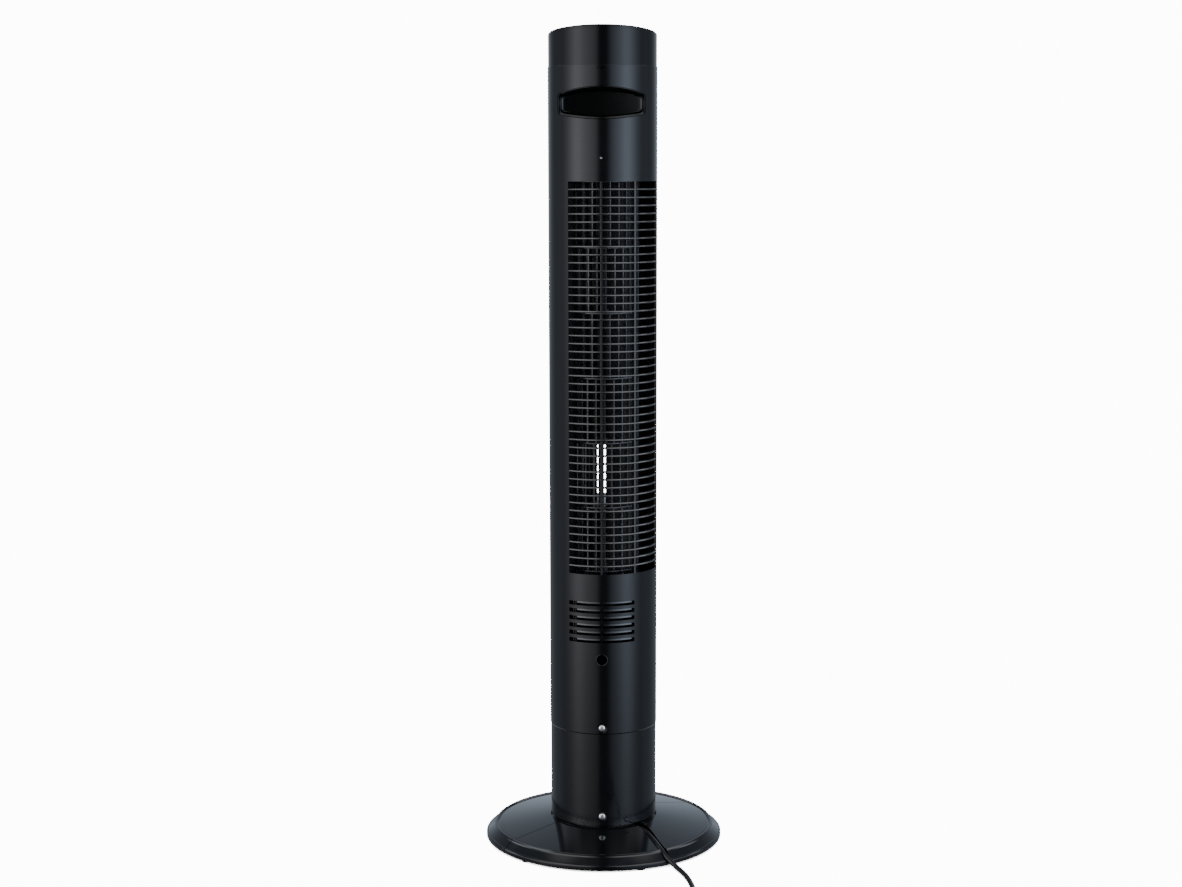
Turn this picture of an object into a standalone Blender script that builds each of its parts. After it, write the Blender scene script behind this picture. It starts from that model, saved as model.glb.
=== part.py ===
"""A tower fan: an oscillating column with a cross-flow impeller, on a round two-piece base.

The origin is the middle of the base on the floor, +Z is up and the air outlet faces -Y.
All sizes are in millimetres and are turned into metres when a mesh is made.
"""

import math

import bmesh
import bpy
from mathutils import Matrix, Vector

MM = 0.001
GAP = 0.3  # between pieces that touch

# Column
BODY_RADIUS = 67.4
WALL = 2.2
BODY_LOW = 149.5
BODY_HIGH = 970.4
CAP_RADIUS = 66.8
CAP_LOW = 971.0
TOP_CENTRE = 1009.8
TOP_LEAN = 7.2  # degrees, higher at the rear
FITTED_RADIUS = 63.8  # pieces that fill the column's inside
FITTED_WALL = 2.4

# Rear grille and lower vent, as angles from the rear middle and heights
GRILLE_LEFT = -37.2
GRILLE_RIB = 37.6
GRILLE_RIGHT = 80.0
RIB_HALF = 0.9
SLATS = 48
SLAT_PITCH = 9.81
SLAT_THICK = 2.0
TOP_SLAT = 822.5
GRILLE_HIGH = 832.0
GRILLE_LOW = 351.5
VENT_LOW = 265.6
VENT_ROWS = 6
VENT_PITCH = 9.3
VENT_SLOT = 5.1

REAR_SPLIT = 838.0  # the rear housing's crown, with the hand hold, starts here

# Handle, fasteners and other marks on the rear
HANDLE_MIDDLE = 925.0
HANDLE_HIGH = 945.4
HANDLE_LOW = 905.8
HANDLE_END = 52.5  # degrees
HANDLE_SHOULDER = 48.0
HANDLE_FLOOR_Y = 30.0
HANDLE_WALL = 1.6
CABLE_HOLE_Z = 243.9
CABLE_HOLE_RADIUS = 6.5
CAP_NOTCH_Z = 966.0
BODY_SCREW_Z = 157.2
NECK_SCREW_Z = 43.5
TOP_SCREW_Z = 860.0

# Front outlet
OUTLET_HALF = 44.0  # degrees to each side of the front middle
OUTLET_LOW = 345.0
OUTLET_HIGH = 838.0
FRONT_SLOTS = 11
FRONT_BAR = 3.04  # degrees
FRONT_MARGIN = 3.03

# Impeller
IMPELLER_RADIUS = 45.0
BLADE_INSIDE = 35.8
BLADES = 25
BLADE_PHASES = (4.8, 1.5, 5.1, 13.2, 6.9, 13.8)  # degrees to a tip in each segment, from the lowest up
BLADE_SWEEP = 8.2  # degrees between a blade's inner and outer edge
BLADE_THICK = 1.2
SEGMENTS = 6
SEGMENT = 80.17
LOWEST_DISC = 351.0
DISC_THICK = 2.4
SHAFT_RADIUS = 4.0
PIN_RADIUS = 3.0

# The folded wall beside the impeller, as radii and angles
TONGUE = [(63.9, 82.5), (56.0, 90.0), (49.2, 101.0), (49.2, 109.0), (55.5, 121.0), (63.6, 134.5)]

# Bulkheads and drive
LOW_BULKHEAD = 338.0
HIGH_BULKHEAD = 842.0
BULKHEAD_THICK = 3.0
MOTOR_RADIUS = 42.0
MOTOR_LOW = 288.0
TURNTABLE_Z = 151.0
GEAR_MODULE = 1.5
GEAR_TEETH = 32
PINION_TEETH = 12
GEAR_LOW = 139.3
GEAR_HIGH = 146.0
PINION_Y = GEAR_MODULE * (GEAR_TEETH + PINION_TEETH) / 2

# Neck
NECK_RADIUS = 66.7
NECK_LOW = 31.5
NECK_HIGH = 149.2
DECK_Z = 136.0
DECK_THICK = 3.0
SPINDLE_RADIUS = 16.0

# Base
BASE_RADIUS = 150.0
BASE_UNDER = 2.0
SEAM = -54.0  # degrees from the rear middle, and again half a turn on
COLLAR_OUT = 63.5
COLLAR_IN = 60.8
COLLAR_HIGH = 58.0
FOOT_RING = 143.5
FOOT_RADIUS = 5.5
LOCK_RING_SCREWS = 38.0
CHANNEL_WIDTH = 9.6
CHANNEL_RIBS = (30.0, 52.0)  # degrees between which the base is solid under the cord

# Control panel
PANEL_RADIUS = 55.6
PANEL_THICK = 2.0
LENS = (20.0, 12.0, 26.0)  # half its width, and its y from one edge to the other
BUTTON_RADIUS = 6.0
BUTTON_X = {"power": 0.0, "speed": -16.0, "timer": -32.0, "mode": 16.0, "swing": 32.0}
BOARD_DROP = 14.0

# Mains lead
CORD_DIAMETER = 6.5
COIL_CENTRE = (-67.0, 294.0)
COIL_INSIDE = 24.5
COIL_OUTSIDE = 51.5
COIL_LOW = 1.3
COIL_HIGH = 14.0
TIE_WIDTH = 10.0
TIE_THICK = 1.0
PLUG_Y = 335.0
PLUG_Z = 6.9

# The plug from its sleeve to its face: x, half its width and half its height
PLUG_SHAPE = [
    (-11.5, 3.8, 3.8),
    (4.0, 4.6, 4.6),
    (8.0, 8.0, 5.6),
    (16.0, 15.0, 6.6),
    (30.0, 17.6, 6.8),
    (40.0, 17.6, 6.8),
    (42.0, 16.6, 5.8),
]

# The channel in the base: x, y and floor height
CHANNEL = [
    (-40.5, 40.5, 17.6),
    (-47.5, 49.5, 17.4),
    (-53.5, 58.5, 17.0),
    (-59.0, 70.0, 16.6),
    (-64.2, 85.0, 16.2),
    (-70.3, 101.0, 13.9),
    (-75.3, 112.5, 10.4),
    (-80.3, 120.8, 6.6),
    (-85.0, 126.0, 3.2),
    (-92.0, 133.5, -3.0),
]

# The middle of the strain relief, from inside the collar to its tip
GLAND_ROUTE = [
    (-43.4, 44.2, 22.0),
    (-48.1, 50.4, 21.9),
    (-53.4, 58.7, 21.7),
    (-58.3, 68.4, 21.3),
]

# The lead's middle from the gland's tip to the coil, and from the coil to the plug
LEAD_ROUTE = [
    (-58.5, 68.9, 21.3),
    (-61.3, 76.0, 20.8),
    (-64.2, 84.5, 20.0),
    (-67.3, 93.0, 18.9),
    (-70.4, 101.0, 17.5),
    (-73.2, 107.5, 16.0),
    (-76.2, 113.8, 14.1),
    (-79.4, 119.4, 11.6),
    (-82.7, 123.7, 9.1),
    (-86.6, 128.3, 6.6),
    (-90.6, 134.0, 4.6),
    (-94.6, 141.5, 3.6),
    (-98.8, 151.5, 3.3),
    (-103.0, 164.0, 3.3),
    (-106.8, 179.0, 3.3),
    (-110.0, 197.0, 3.3),
    (-112.6, 217.0, 3.4),
    (-114.1, 237.0, 3.8),
    (-114.7, 253.0, 4.3),
    (-114.9, 267.4, 4.6),
]
TAIL_ROUTE = [
    (-35.2, 338.6, 9.2),
    (-30.5, 338.2, 8.7),
    (-25.0, 337.2, 8.0),
    (-19.0, 335.8, 7.2),
    (-12.4, 335.0, 6.9),
]


# Materials


def material(name, colour, roughness, metallic=0.0):
    made = bpy.data.materials.new(name)
    made.use_nodes = True
    shader = made.node_tree.nodes["Principled BSDF"]
    shader.inputs["Base Color"].default_value = (*colour, 1.0)
    shader.inputs["Roughness"].default_value = roughness
    shader.inputs["Metallic"].default_value = metallic
    made.diffuse_color = (*colour, 1.0)
    return made


def plastic(name, shade=0.012, roughness=0.35):
    return material(name, (shade, shade, shade * 1.15), roughness)


def steel(name, shade=0.62, roughness=0.3):
    return material(name, (shade, shade, shade), roughness, 1.0)


# Shapes


def spot(radius, angle):
    """x and y at an angle in degrees from the rear middle, counter-clockwise seen from above."""
    turn = math.radians(angle)
    return -radius * math.sin(turn), radius * math.cos(turn)


def top_height(y):
    return TOP_CENTRE + y * math.tan(math.radians(TOP_LEAN))


def spread(first, last, steps):
    return [first + (last - first) * i / steps for i in range(steps + 1)]


def make(name, mesh, finish):
    """Turns a bmesh in millimetres into an object."""
    bmesh.ops.scale(mesh, vec=(MM, MM, MM), verts=mesh.verts)
    bmesh.ops.recalc_face_normals(mesh, faces=mesh.faces)
    data = bpy.data.meshes.new(name)
    mesh.to_mesh(data)
    mesh.free()
    data.shade_smooth()
    data.set_sharp_from_angle(angle=math.radians(35))
    data.materials.append(finish)
    piece = bpy.data.objects.new(name, data)
    bpy.context.scene.collection.objects.link(piece)
    return piece


def cutter(piece):
    piece.hide_render = True
    piece.display_type = "WIRE"
    return piece


def combine(piece, other, operation):
    change = piece.modifiers.new(operation.lower() + "_" + other.name, "BOOLEAN")
    change.operation = operation
    change.solver = "EXACT"
    change.object = cutter(other)


def cut(piece, other):
    combine(piece, other, "DIFFERENCE")


def join(piece, other):
    combine(piece, other, "UNION")


def attach(piece, carrier, origin=(0.0, 0.0, 0.0)):
    """Gives the piece its own origin and hangs it on the carrier."""
    place = Vector(origin) * MM
    piece.data.transform(Matrix.Translation(-place))
    piece.parent = carrier
    piece.location = place - carrier.location
    return piece


def add_turned(mesh, profile, steps, start=0.0, sweep=360.0, centre=(0.0, 0.0)):
    """Turns a closed profile of (radius, height) points; a third item measures from the sloped top."""
    closed = sweep == 360.0
    rings = []
    on_axis = {}
    for i in range(steps if closed else steps + 1):
        ring = []
        for k, (radius, height, *sloped) in enumerate(profile):
            x, y = spot(radius, start + sweep * i / steps)
            z = height + top_height(y) if sloped else height
            if radius == 0.0 and k in on_axis:
                ring.append(on_axis[k])
                continue
            ring.append(mesh.verts.new((centre[0] + x, centre[1] + y, z)))
            if radius == 0.0:
                on_axis[k] = ring[-1]
        rings.append(ring)
    pairs = list(zip(rings, rings[1:] + rings[:1]))
    for a, b in pairs if closed else pairs[:-1]:
        for k in range(len(profile)):
            n = (k + 1) % len(profile)
            corners = list(dict.fromkeys([a[k], a[n], b[n], b[k]]))
            if len(corners) > 2:
                mesh.faces.new(corners)
    if not closed:
        mesh.faces.new(rings[0])
        mesh.faces.new(rings[-1])


def turned(name, profile, finish, steps=32, **options):
    mesh = bmesh.new()
    add_turned(mesh, profile, steps, **options)
    return make(name, mesh, finish)


def add_prism(mesh, low, high):
    """Bridges two loops of 3-D points and closes both ends."""
    rings = [[mesh.verts.new(p) for p in loop] for loop in (low, high)]
    count = len(low)
    for k in range(count):
        n = (k + 1) % count
        mesh.faces.new([rings[0][k], rings[0][n], rings[1][n], rings[1][k]])
    for ring in rings:
        mesh.faces.new(ring)


def upright(name, outline, low, high, finish):
    """Extrudes an outline of (x, y) points between two heights."""
    mesh = bmesh.new()
    add_prism(mesh, [(x, y, low) for x, y in outline], [(x, y, high) for x, y in outline])
    return make(name, mesh, finish)


def block(name, low, high, finish):
    outline = [(low[0], low[1]), (high[0], low[1]), (high[0], high[1]), (low[0], high[1])]
    return upright(name, outline, low[2], high[2], finish)


def lofted(name, sections, finish):
    """Joins loops of 3-D points with the same number of points, and closes both ends."""
    mesh = bmesh.new()
    rings = [[mesh.verts.new(p) for p in loop] for loop in sections]
    count = len(sections[0])
    for a, b in zip(rings, rings[1:]):
        for k in range(count):
            n = (k + 1) % count
            mesh.faces.new([a[k], a[n], b[n], b[k]])
    mesh.faces.new(rings[0])
    mesh.faces.new(rings[-1])
    return make(name, mesh, finish)


def across(direction):
    """Two unit vectors square to a direction."""
    along = Vector(direction).normalized()
    side = along.cross(Vector((0, 0, 1)))
    if side.length < 0.01:
        side = Vector((1, 0, 0))
    side.normalize()
    return side, side.cross(along)


def round_loop(centre, direction, radius, sides, flat=1.0):
    side, up = across(direction)
    loop = []
    for i in range(sides):
        turn = 2 * math.pi * i / sides
        offset = side * math.cos(turn) * radius + up * math.sin(turn) * radius * flat
        loop.append(tuple(Vector(centre) + offset))
    return loop


def rod(name, start, end, radii, finish, sides=16):
    """A round bar of steps; radii holds (share of the length, radius)."""
    first, last = Vector(start), Vector(end)
    sections = []
    for share, radius in radii:
        sections.append(round_loop(first.lerp(last, share), last - first, radius, sides))
    return lofted(name, sections, finish)


def plain_rod(name, start, end, radius, finish, sides=16):
    return rod(name, start, end, [(0, radius), (1, radius)], finish, sides)


def offset_outline(outline, distance):
    """Moves a closed counter-clockwise outline outwards by a distance, or inwards if it is negative."""
    moved = []
    for before, here, after in zip(outline[-1:] + outline[:-1], outline, outline[1:] + outline[:1]):
        first = (Vector(here) - Vector(before)).normalized()
        second = (Vector(after) - Vector(here)).normalized()
        normal = (Vector((first.y, -first.x)) + Vector((second.y, -second.x))).normalized()
        share = max(0.4, normal.dot(Vector((second.y, -second.x))))
        moved.append(tuple(Vector(here) + normal * distance / share))
    return moved


def wall(name, line, thickness, low, high, finish):
    """A thin upright wall along an open line of (x, y) points."""
    left, right = [], []
    for i, here in enumerate(line):
        before, after = line[max(i - 1, 0)], line[min(i + 1, len(line) - 1)]
        along = (Vector(after) - Vector(before)).normalized()
        side = Vector((-along.y, along.x)) * thickness / 2
        left.append(tuple(Vector(here) + side))
        right.append(tuple(Vector(here) - side))
    return upright(name, left + right[::-1], low, high, finish)


def curved_panel(name, radius, angles, heights, is_open, finish):
    """A curved plate on a grid of angles and heights; is_open says which cells are holes."""
    mesh = bmesh.new()
    made = {}

    def corner(i, j, inner):
        if (i, j, inner) not in made:
            x, y = spot(radius - WALL if inner else radius, angles[i])
            made[i, j, inner] = mesh.verts.new((x, y, heights[j]))
        return made[i, j, inner]

    def solid(i, j):
        inside = 0 <= i < len(angles) - 1 and 0 <= j < len(heights) - 1
        return inside and not is_open(i, j)

    for i in range(len(angles) - 1):
        for j in range(len(heights) - 1):
            if not solid(i, j):
                continue
            around = [(i, j), (i + 1, j), (i + 1, j + 1), (i, j + 1)]
            for inner in (False, True):
                mesh.faces.new([corner(*c, inner) for c in around])
            beside = [(i, j - 1), (i + 1, j), (i, j + 1), (i - 1, j)]
            for k, neighbour in enumerate(beside):
                if not solid(*neighbour):
                    a, b = around[k], around[(k + 1) % 4]
                    ends = [corner(*a, False), corner(*b, False), corner(*b, True), corner(*a, True)]
                    mesh.faces.new(ends)
    bmesh.ops.recalc_face_normals(mesh, faces=mesh.faces)
    flat = math.radians(0.5)
    bmesh.ops.dissolve_limit(mesh, angle_limit=flat, verts=mesh.verts[:], edges=mesh.edges[:])
    return make(name, mesh, finish)


def gear_outline(teeth, module, start):
    """A toothed outline of (x, y) points, with a tooth centred on the start angle."""
    pitch_radius = module * teeth / 2
    step = 360.0 / teeth
    outline = []
    for i in range(teeth):
        middle = start + step * i
        for radius, share in ((-1.2, -0.28), (0.85, -0.11), (0.85, 0.11), (-1.2, 0.28)):
            outline.append(spot(pitch_radius + radius * module, middle + share * step))
    return outline


def smooth_curve(points, spacing):
    """Points a fixed distance apart on a smooth curve through a route's own points."""
    route = [Vector(p) for p in points]
    route = [2 * route[0] - route[1]] + route + [2 * route[-1] - route[-2]]
    fine = []
    for p0, p1, p2, p3 in zip(route, route[1:], route[2:], route[3:]):
        for i in range(20):
            t = i / 20
            fine.append(0.5 * (2 * p1 + (p2 - p0) * t + (2 * p0 - 5 * p1 + 4 * p2 - p3) * t**2
                               + (3 * p1 - p0 - 3 * p2 + p3) * t**3))
    fine.append(route[-2])
    chosen = [fine[0]]
    travelled = 0.0
    for a, b in zip(fine, fine[1:]):
        travelled += (b - a).length
        if travelled >= spacing:
            chosen.append(b)
            travelled = 0.0
    if (chosen[-1] - fine[-1]).length < spacing / 2:
        chosen.pop()
    return chosen + [fine[-1]]


def cord(name, route, finish):
    """A round tube along a route, as a bevelled curve with closed ends."""
    curve = bpy.data.curves.new(name, "CURVE")
    curve.dimensions = "3D"
    curve.bevel_depth = CORD_DIAMETER / 2 * MM
    curve.bevel_resolution = 2
    curve.use_fill_caps = True
    points = smooth_curve(route, 2.5 * CORD_DIAMETER)
    line = curve.splines.new("POLY")
    line.points.add(len(points) - 1)
    for target, point in zip(line.points, points):
        target.co = (*(point * MM), 1.0)
    curve.materials.append(finish)
    piece = bpy.data.objects.new(name, curve)
    bpy.context.scene.collection.objects.link(piece)
    return piece


# Base


def base_profile():
    """The outside of a base half: rim, step, cone, collar and inner floor."""
    return [
        (BASE_RADIUS, BASE_UNDER),
        (BASE_RADIUS, 7.4),
        (149.2, 8.3),
        (139.2, 16.8),
        (137.8, 18.6),
        (136.2, 18.6),
        (134.6, 17.9),
        (66.4, 29.1),
        (COLLAR_OUT, 29.1),
        (COLLAR_OUT, COLLAR_HIGH),
        (COLLAR_IN, COLLAR_HIGH),
        (COLLAR_IN, 27.6),
        (50.0, 31.0),
        (24.0, 31.0),
        (24.0, 24.5),
        (59.5, 24.5),
        (59.5, BASE_UNDER),
    ]


def cavity(name, start, end, steps):
    """The hollow under the base between two angles."""
    profile = [(62.5, -2.0), (135.5, -2.0), (135.5, 14.6), (64.0, 24.4), (62.5, 24.4)]
    return turned(name, profile, plastic(name), steps, start=start, sweep=end - start)


def channel_cutter():
    """The open groove that the mains lead lies in, from inside the collar out over the rim."""
    sections = []
    half = CHANNEL_WIDTH / 2
    for i, (x, y, floor) in enumerate(CHANNEL):
        before, after = CHANNEL[max(i - 1, 0)], CHANNEL[min(i + 1, len(CHANNEL) - 1)]
        along = Vector((after[0] - before[0], after[1] - before[1])).normalized()
        side = Vector((-along.y, along.x)) * half
        low = [(x - side.x, y - side.y, floor), (x + side.x, y + side.y, floor)]
        high = [(x + side.x, y + side.y, 33.0), (x - side.x, y - side.y, 33.0)]
        sections.append(low + high)
    return lofted("channel_cutter", sections, plastic("channel_cutter"))


def base_half(name, start, hollows):
    piece = turned(name, base_profile(), plastic(name, roughness=0.12), 20, start=start, sweep=180.0)
    apart = Vector((*spot(GAP / 2, start + 90.0), 0.0)) * MM
    piece.location = apart
    for i, (low, high, steps) in enumerate(hollows):
        cut(piece, cavity(f"{name}_hollow_{i + 1}", low, high, steps))
    return piece


def make_base():
    edge = 1.5
    opposite = SEAM + 180.0
    rear_hollows = [(SEAM + edge, CHANNEL_RIBS[0], 8), (CHANNEL_RIBS[1], opposite - edge, 7)]
    rear = base_half("base_rear_half", SEAM, rear_hollows)
    cut(rear, channel_cutter())
    front = base_half("base_front_half", opposite, [(opposite + edge, SEAM + 360.0 - edge, 16)])
    ring_profile = [(26.0, 19.0), (47.0, 19.0), (47.0, 24.2), (26.0, 24.2)]
    ring = turned("base_lock_ring", ring_profile, plastic("base_lock_ring", 0.03, 0.5), 24)
    for i, angle in enumerate((-10.0, 80.0, 170.0, 260.0)):
        x, y = spot(LOCK_RING_SCREWS, angle)
        drill = plain_rod(f"lock_drill_{i + 1}", (x, y, 10.0), (x, y, 29.0), 2.2, plastic("drill"), 10)
        half = rear if i < 2 else front
        cut(half, drill)
        cut(ring, drill)
        radii = [(0, 3.6), (0.23, 3.6), (0.23, 1.8), (1, 1.8)]
        rod(f"base_screw_{i + 1}", (x, y, 15.9), (x, y, 28.0), radii, steel("base_screw"), 10)
    for i in range(6):
        x, y = spot(FOOT_RING, -40.0 + 60.0 * i)
        high = BASE_UNDER - GAP
        profile = [(0.0, 0.0), (FOOT_RADIUS, 0.0), (FOOT_RADIUS, high), (0.0, high)]
        rubber = material("foot_rubber", (0.02, 0.02, 0.02), 0.8)
        turned(f"foot_{i + 1}", profile, rubber, 16, centre=(x, y))
    return rear


def screw(name, height, seat, head_radius, head, shank, length, drill_from):
    """A pan-head screw with its head at y = seat, put in from the rear, and the cutter for its hole."""
    share = length / (length + head)
    domed = share + (1 - share) * 0.6
    pan = [(share, head_radius), (domed, head_radius), (1, head_radius * 0.6)]
    radii = [(0, shank), (share, shank)] + pan
    made = rod(name, (0, seat - length, height), (0, seat + head, height), radii, steel(name), 14)
    start, end = (0, drill_from, height), (0, seat + 20, height)
    drill = plain_rod(name + "_drill", start, end, shank + 0.3, plastic("drill"), 12)
    return made, drill


def make_neck(base_rear):
    profile = [
        (NECK_RADIUS - 0.6, NECK_LOW),
        (NECK_RADIUS, NECK_LOW + 0.8),
        (NECK_RADIUS, NECK_HIGH),
        (NECK_RADIUS - WALL, NECK_HIGH),
        (NECK_RADIUS - WALL, DECK_Z + DECK_THICK),
        (SPINDLE_RADIUS + GAP, DECK_Z + DECK_THICK),
        (SPINDLE_RADIUS + GAP, DECK_Z),
        (NECK_RADIUS - WALL, DECK_Z),
        (NECK_RADIUS - WALL, NECK_LOW),
    ]
    neck = turned("neck", profile, plastic("neck"), 28)
    _, drill = screw("neck_screw", NECK_SCREW_Z, 65.8, 4.3, 1.6, 1.9, 9.0, 55.0)
    cut(neck, drill)
    cut(base_rear, drill)
    recess_start, recess_end = (0, 65.5, NECK_SCREW_Z), (0, 75, NECK_SCREW_Z)
    recess = plain_rod("neck_recess", recess_start, recess_end, 6.0, plastic("drill"), 16)
    cut(neck, recess)

    outline = gear_outline(GEAR_TEETH, GEAR_MODULE, 0.0)
    white = plastic("oscillation_gear", 0.6, 0.4)
    gear = upright("oscillation_gear", outline, GEAR_LOW, GEAR_HIGH, white)
    bore = [(0.0, 120.0), (SPINDLE_RADIUS + GAP, 120.0), (SPINDLE_RADIUS + GAP, 160.0), (0.0, 160.0)]
    cut(gear, turned("gear_bore", bore, plastic("drill"), 20))
    ring_profile = [(50.0, 139.3), (54.0, 139.3), (54.0, TURNTABLE_Z - GAP), (50.0, TURNTABLE_Z - GAP)]
    turned("slide_ring", ring_profile, plastic("slide_ring", 0.7, 0.4), 20)


# Tower


def make_turntable(tower):
    high = TURNTABLE_Z + BULKHEAD_THICK
    profile = [
        (12.5, 134.0),
        (SPINDLE_RADIUS, 134.0),
        (SPINDLE_RADIUS, TURNTABLE_Z),
        (FITTED_RADIUS, TURNTABLE_Z),
        (FITTED_RADIUS, 166.0),
        (FITTED_RADIUS - FITTED_WALL, 166.0),
        (FITTED_RADIUS - FITTED_WALL, high),
        (12.5, high),
    ]
    table = attach(turned("turntable", profile, plastic("turntable", 0.02, 0.45), 24), tower)
    start, end = (0, PINION_Y, 148), (0, PINION_Y, 157)
    cut(table, plain_rod("pinion_hole", start, end, 4.5, plastic("drill"), 14))
    keeper = [(9.0, 130.5), (26.0, 130.5), (26.0, 133.7), (9.0, 133.7)]
    attach(turned("spindle_retainer", keeper, steel("spindle_retainer", 0.5, 0.4), 24), tower)
    return table


def make_swing_drive(tower):
    centre = (0.0, PINION_Y)
    motor_profile = [
        (3.2, 154.3),
        (24.5, 154.3),
        (25.0, 155.0),
        (25.0, 169.0),
        (24.0, 170.0),
        (0.0, 170.0),
        (0.0, 161.0),
        (3.2, 161.0),
    ]
    motor = turned("swing_motor", motor_profile, steel("swing_motor", 0.5, 0.4), 24, centre=centre)
    attach(motor, tower)
    spindle = bpy.data.objects.new("pinion_axis", None)
    bpy.context.scene.collection.objects.link(spindle)
    spindle.location = Vector((0.0, PINION_Y, GEAR_LOW)) * MM
    outline = gear_outline(PINION_TEETH, GEAR_MODULE, 180.0 + 180.0 / PINION_TEETH)
    outline = [(x, y + PINION_Y) for x, y in outline]
    white = plastic("swing_pinion", 0.6, 0.4)
    pinion = upright("swing_pinion", outline, GEAR_LOW + 0.4, GEAR_HIGH, white)
    attach(pinion, spindle, (0.0, PINION_Y, GEAR_LOW))
    start, end = (0, PINION_Y, 142), (0, PINION_Y, 160.5)
    join(pinion, plain_rod("pinion_shaft", start, end, 2.6, steel("pinion_shaft"), 12))


def rear_angles():
    """Grid lines round the rear housing, from the +X edge to the -X edge."""
    left = spread(-89.87, GRILLE_LEFT, 4)
    middle_left = spread(GRILLE_LEFT, -RIB_HALF, 2)
    middle_right = spread(RIB_HALF, GRILLE_RIB - RIB_HALF, 2)
    right = spread(GRILLE_RIB + RIB_HALF, GRILLE_RIGHT, 3)
    return left[:-1] + middle_left + middle_right + right + [89.87]


def rear_heights():
    """Grid lines up the rear housing, with the vent's slots and the grille's gaps between them."""
    lines = [BODY_LOW]
    gaps = []
    for row in range(VENT_ROWS):
        low = VENT_LOW + VENT_PITCH * row
        gaps.append((low, low + VENT_SLOT, False))
    edges = [GRILLE_LOW]
    for slat in range(SLATS - 1, -1, -1):
        middle = TOP_SLAT - SLAT_PITCH * slat
        edges += [middle - SLAT_THICK / 2, middle + SLAT_THICK / 2]
    edges.append(GRILLE_HIGH)
    gaps += [(low, high, True) for low, high in zip(edges[::2], edges[1::2])]
    open_rows = {}
    for low, high, whole in gaps:
        open_rows[len(lines)] = whole
        lines += [low, high]
    return lines + [REAR_SPLIT - GAP / 2], open_rows


def handle_outline():
    """The hand hold seen from the rear: bowed edges and rounded ends, as counter-clockwise (x, z)."""
    top, bottom = [], []
    for angle in spread(-HANDLE_SHOULDER, HANDLE_SHOULDER, 8):
        x, _ = spot(BODY_RADIUS, angle)
        bow = (angle / HANDLE_SHOULDER) ** 2
        top.append((x, HANDLE_HIGH - 6.8 * bow))
        bottom.append((x, HANDLE_LOW + 5.6 * bow))
    end, _ = spot(BODY_RADIUS, -HANDLE_END)
    left = [(-end, 934.0), (-end, 915.0)]
    right = [(end, 915.0), (end, 934.0)]
    return right + top + left + bottom[::-1]


def make_rear_housing(tower, table):
    angles = rear_angles()
    heights, open_rows = rear_heights()
    rib_columns = {
        i for i in range(len(angles) - 1) if angles[i + 1] - angles[i] < 3 * RIB_HALF
    }
    first = angles.index(GRILLE_LEFT)
    rib = angles.index(GRILLE_RIB - RIB_HALF)
    last = angles.index(GRILLE_RIGHT)

    def is_open(i, j):
        if j not in open_rows or i in rib_columns:
            return False
        return first <= i < (last if open_rows[j] else rib)

    finish = plastic("rear_housing", roughness=0.3)
    rear = attach(curved_panel("rear_housing", BODY_RADIUS, angles, heights, is_open, finish), tower)
    start, end = (0, 50, CABLE_HOLE_Z), (0, 80, CABLE_HOLE_Z)
    cut(rear, plain_rod("cable_drill", start, end, CABLE_HOLE_RADIUS, plastic("drill"), 20))
    made, drill = screw("body_screw", BODY_SCREW_Z, 66.5, 4.2, 1.6, 1.9, 7.5, 55.0)
    attach(made, tower)
    cut(rear, drill)
    cut(table, drill)
    start, end = (0, 66.2, BODY_SCREW_Z), (0, 75, BODY_SCREW_Z)
    cut(rear, plain_rod("body_recess", start, end, 7.0, plastic("drill"), 16))


def make_rear_crown(tower):
    """The rear housing above the grille, with the hand hold's mouth and the cap's notch."""
    heights = [REAR_SPLIT + GAP / 2, BODY_HIGH]
    finish = plastic("rear_crown", roughness=0.3)
    crown = curved_panel("rear_crown", BODY_RADIUS, rear_angles(), heights, lambda i, j: False, finish)
    attach(crown, tower)
    outline = handle_outline()
    mouth = bmesh.new()
    add_prism(mouth, [(x, 30.0, z) for x, z in outline], [(x, 90.0, z) for x, z in outline])
    cut(crown, make("handle_mouth", mouth, plastic("drill")))
    low, high = (-7.0, 50.0, CAP_NOTCH_Z - 1.5), (7.0, 80.0, CAP_NOTCH_Z + 1.5)
    cut(crown, block("notch_cutter", low, high, plastic("drill")))
    make_handle_pocket(tower, outline)
    return crown


def make_handle_pocket(tower, outline):
    """The moulded cup behind the hand hold; its lip lines the mouth and ends flush with the column."""
    outer = offset_outline(outline, -GAP - 0.05)
    inner = offset_outline(outline, -GAP - HANDLE_WALL)
    rim_radius = BODY_RADIUS - 0.1
    taper = 0.93

    def at_rim(loop):
        return [(x, math.sqrt(rim_radius**2 - x * x), z) for x, z in loop]

    def at_floor(loop, y):
        return [(x * taper, y, HANDLE_MIDDLE + (z - HANDLE_MIDDLE) * taper) for x, z in loop]

    floor = HANDLE_FLOOR_Y
    loops = [at_floor(outer, floor), at_rim(outer), at_rim(inner), at_floor(inner, floor + HANDLE_WALL)]
    attach(lofted("handle_pocket", loops, plastic("handle_pocket", 0.006, 0.35)), tower)


def make_front_housing(tower):
    low, high = 180.0 - OUTLET_HALF, 180.0 + OUTLET_HALF
    angles = spread(90.13, low, 4) + spread(low, high, 6)[1:] + spread(high, 269.87, 4)[1:]
    heights = [BODY_LOW, OUTLET_LOW, OUTLET_HIGH, BODY_HIGH]

    def is_open(i, j):
        return j == 1 and 4 <= i < 10

    finish = plastic("front_housing", roughness=0.3)
    attach(curved_panel("front_housing", BODY_RADIUS, angles, heights, is_open, finish), tower)


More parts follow.
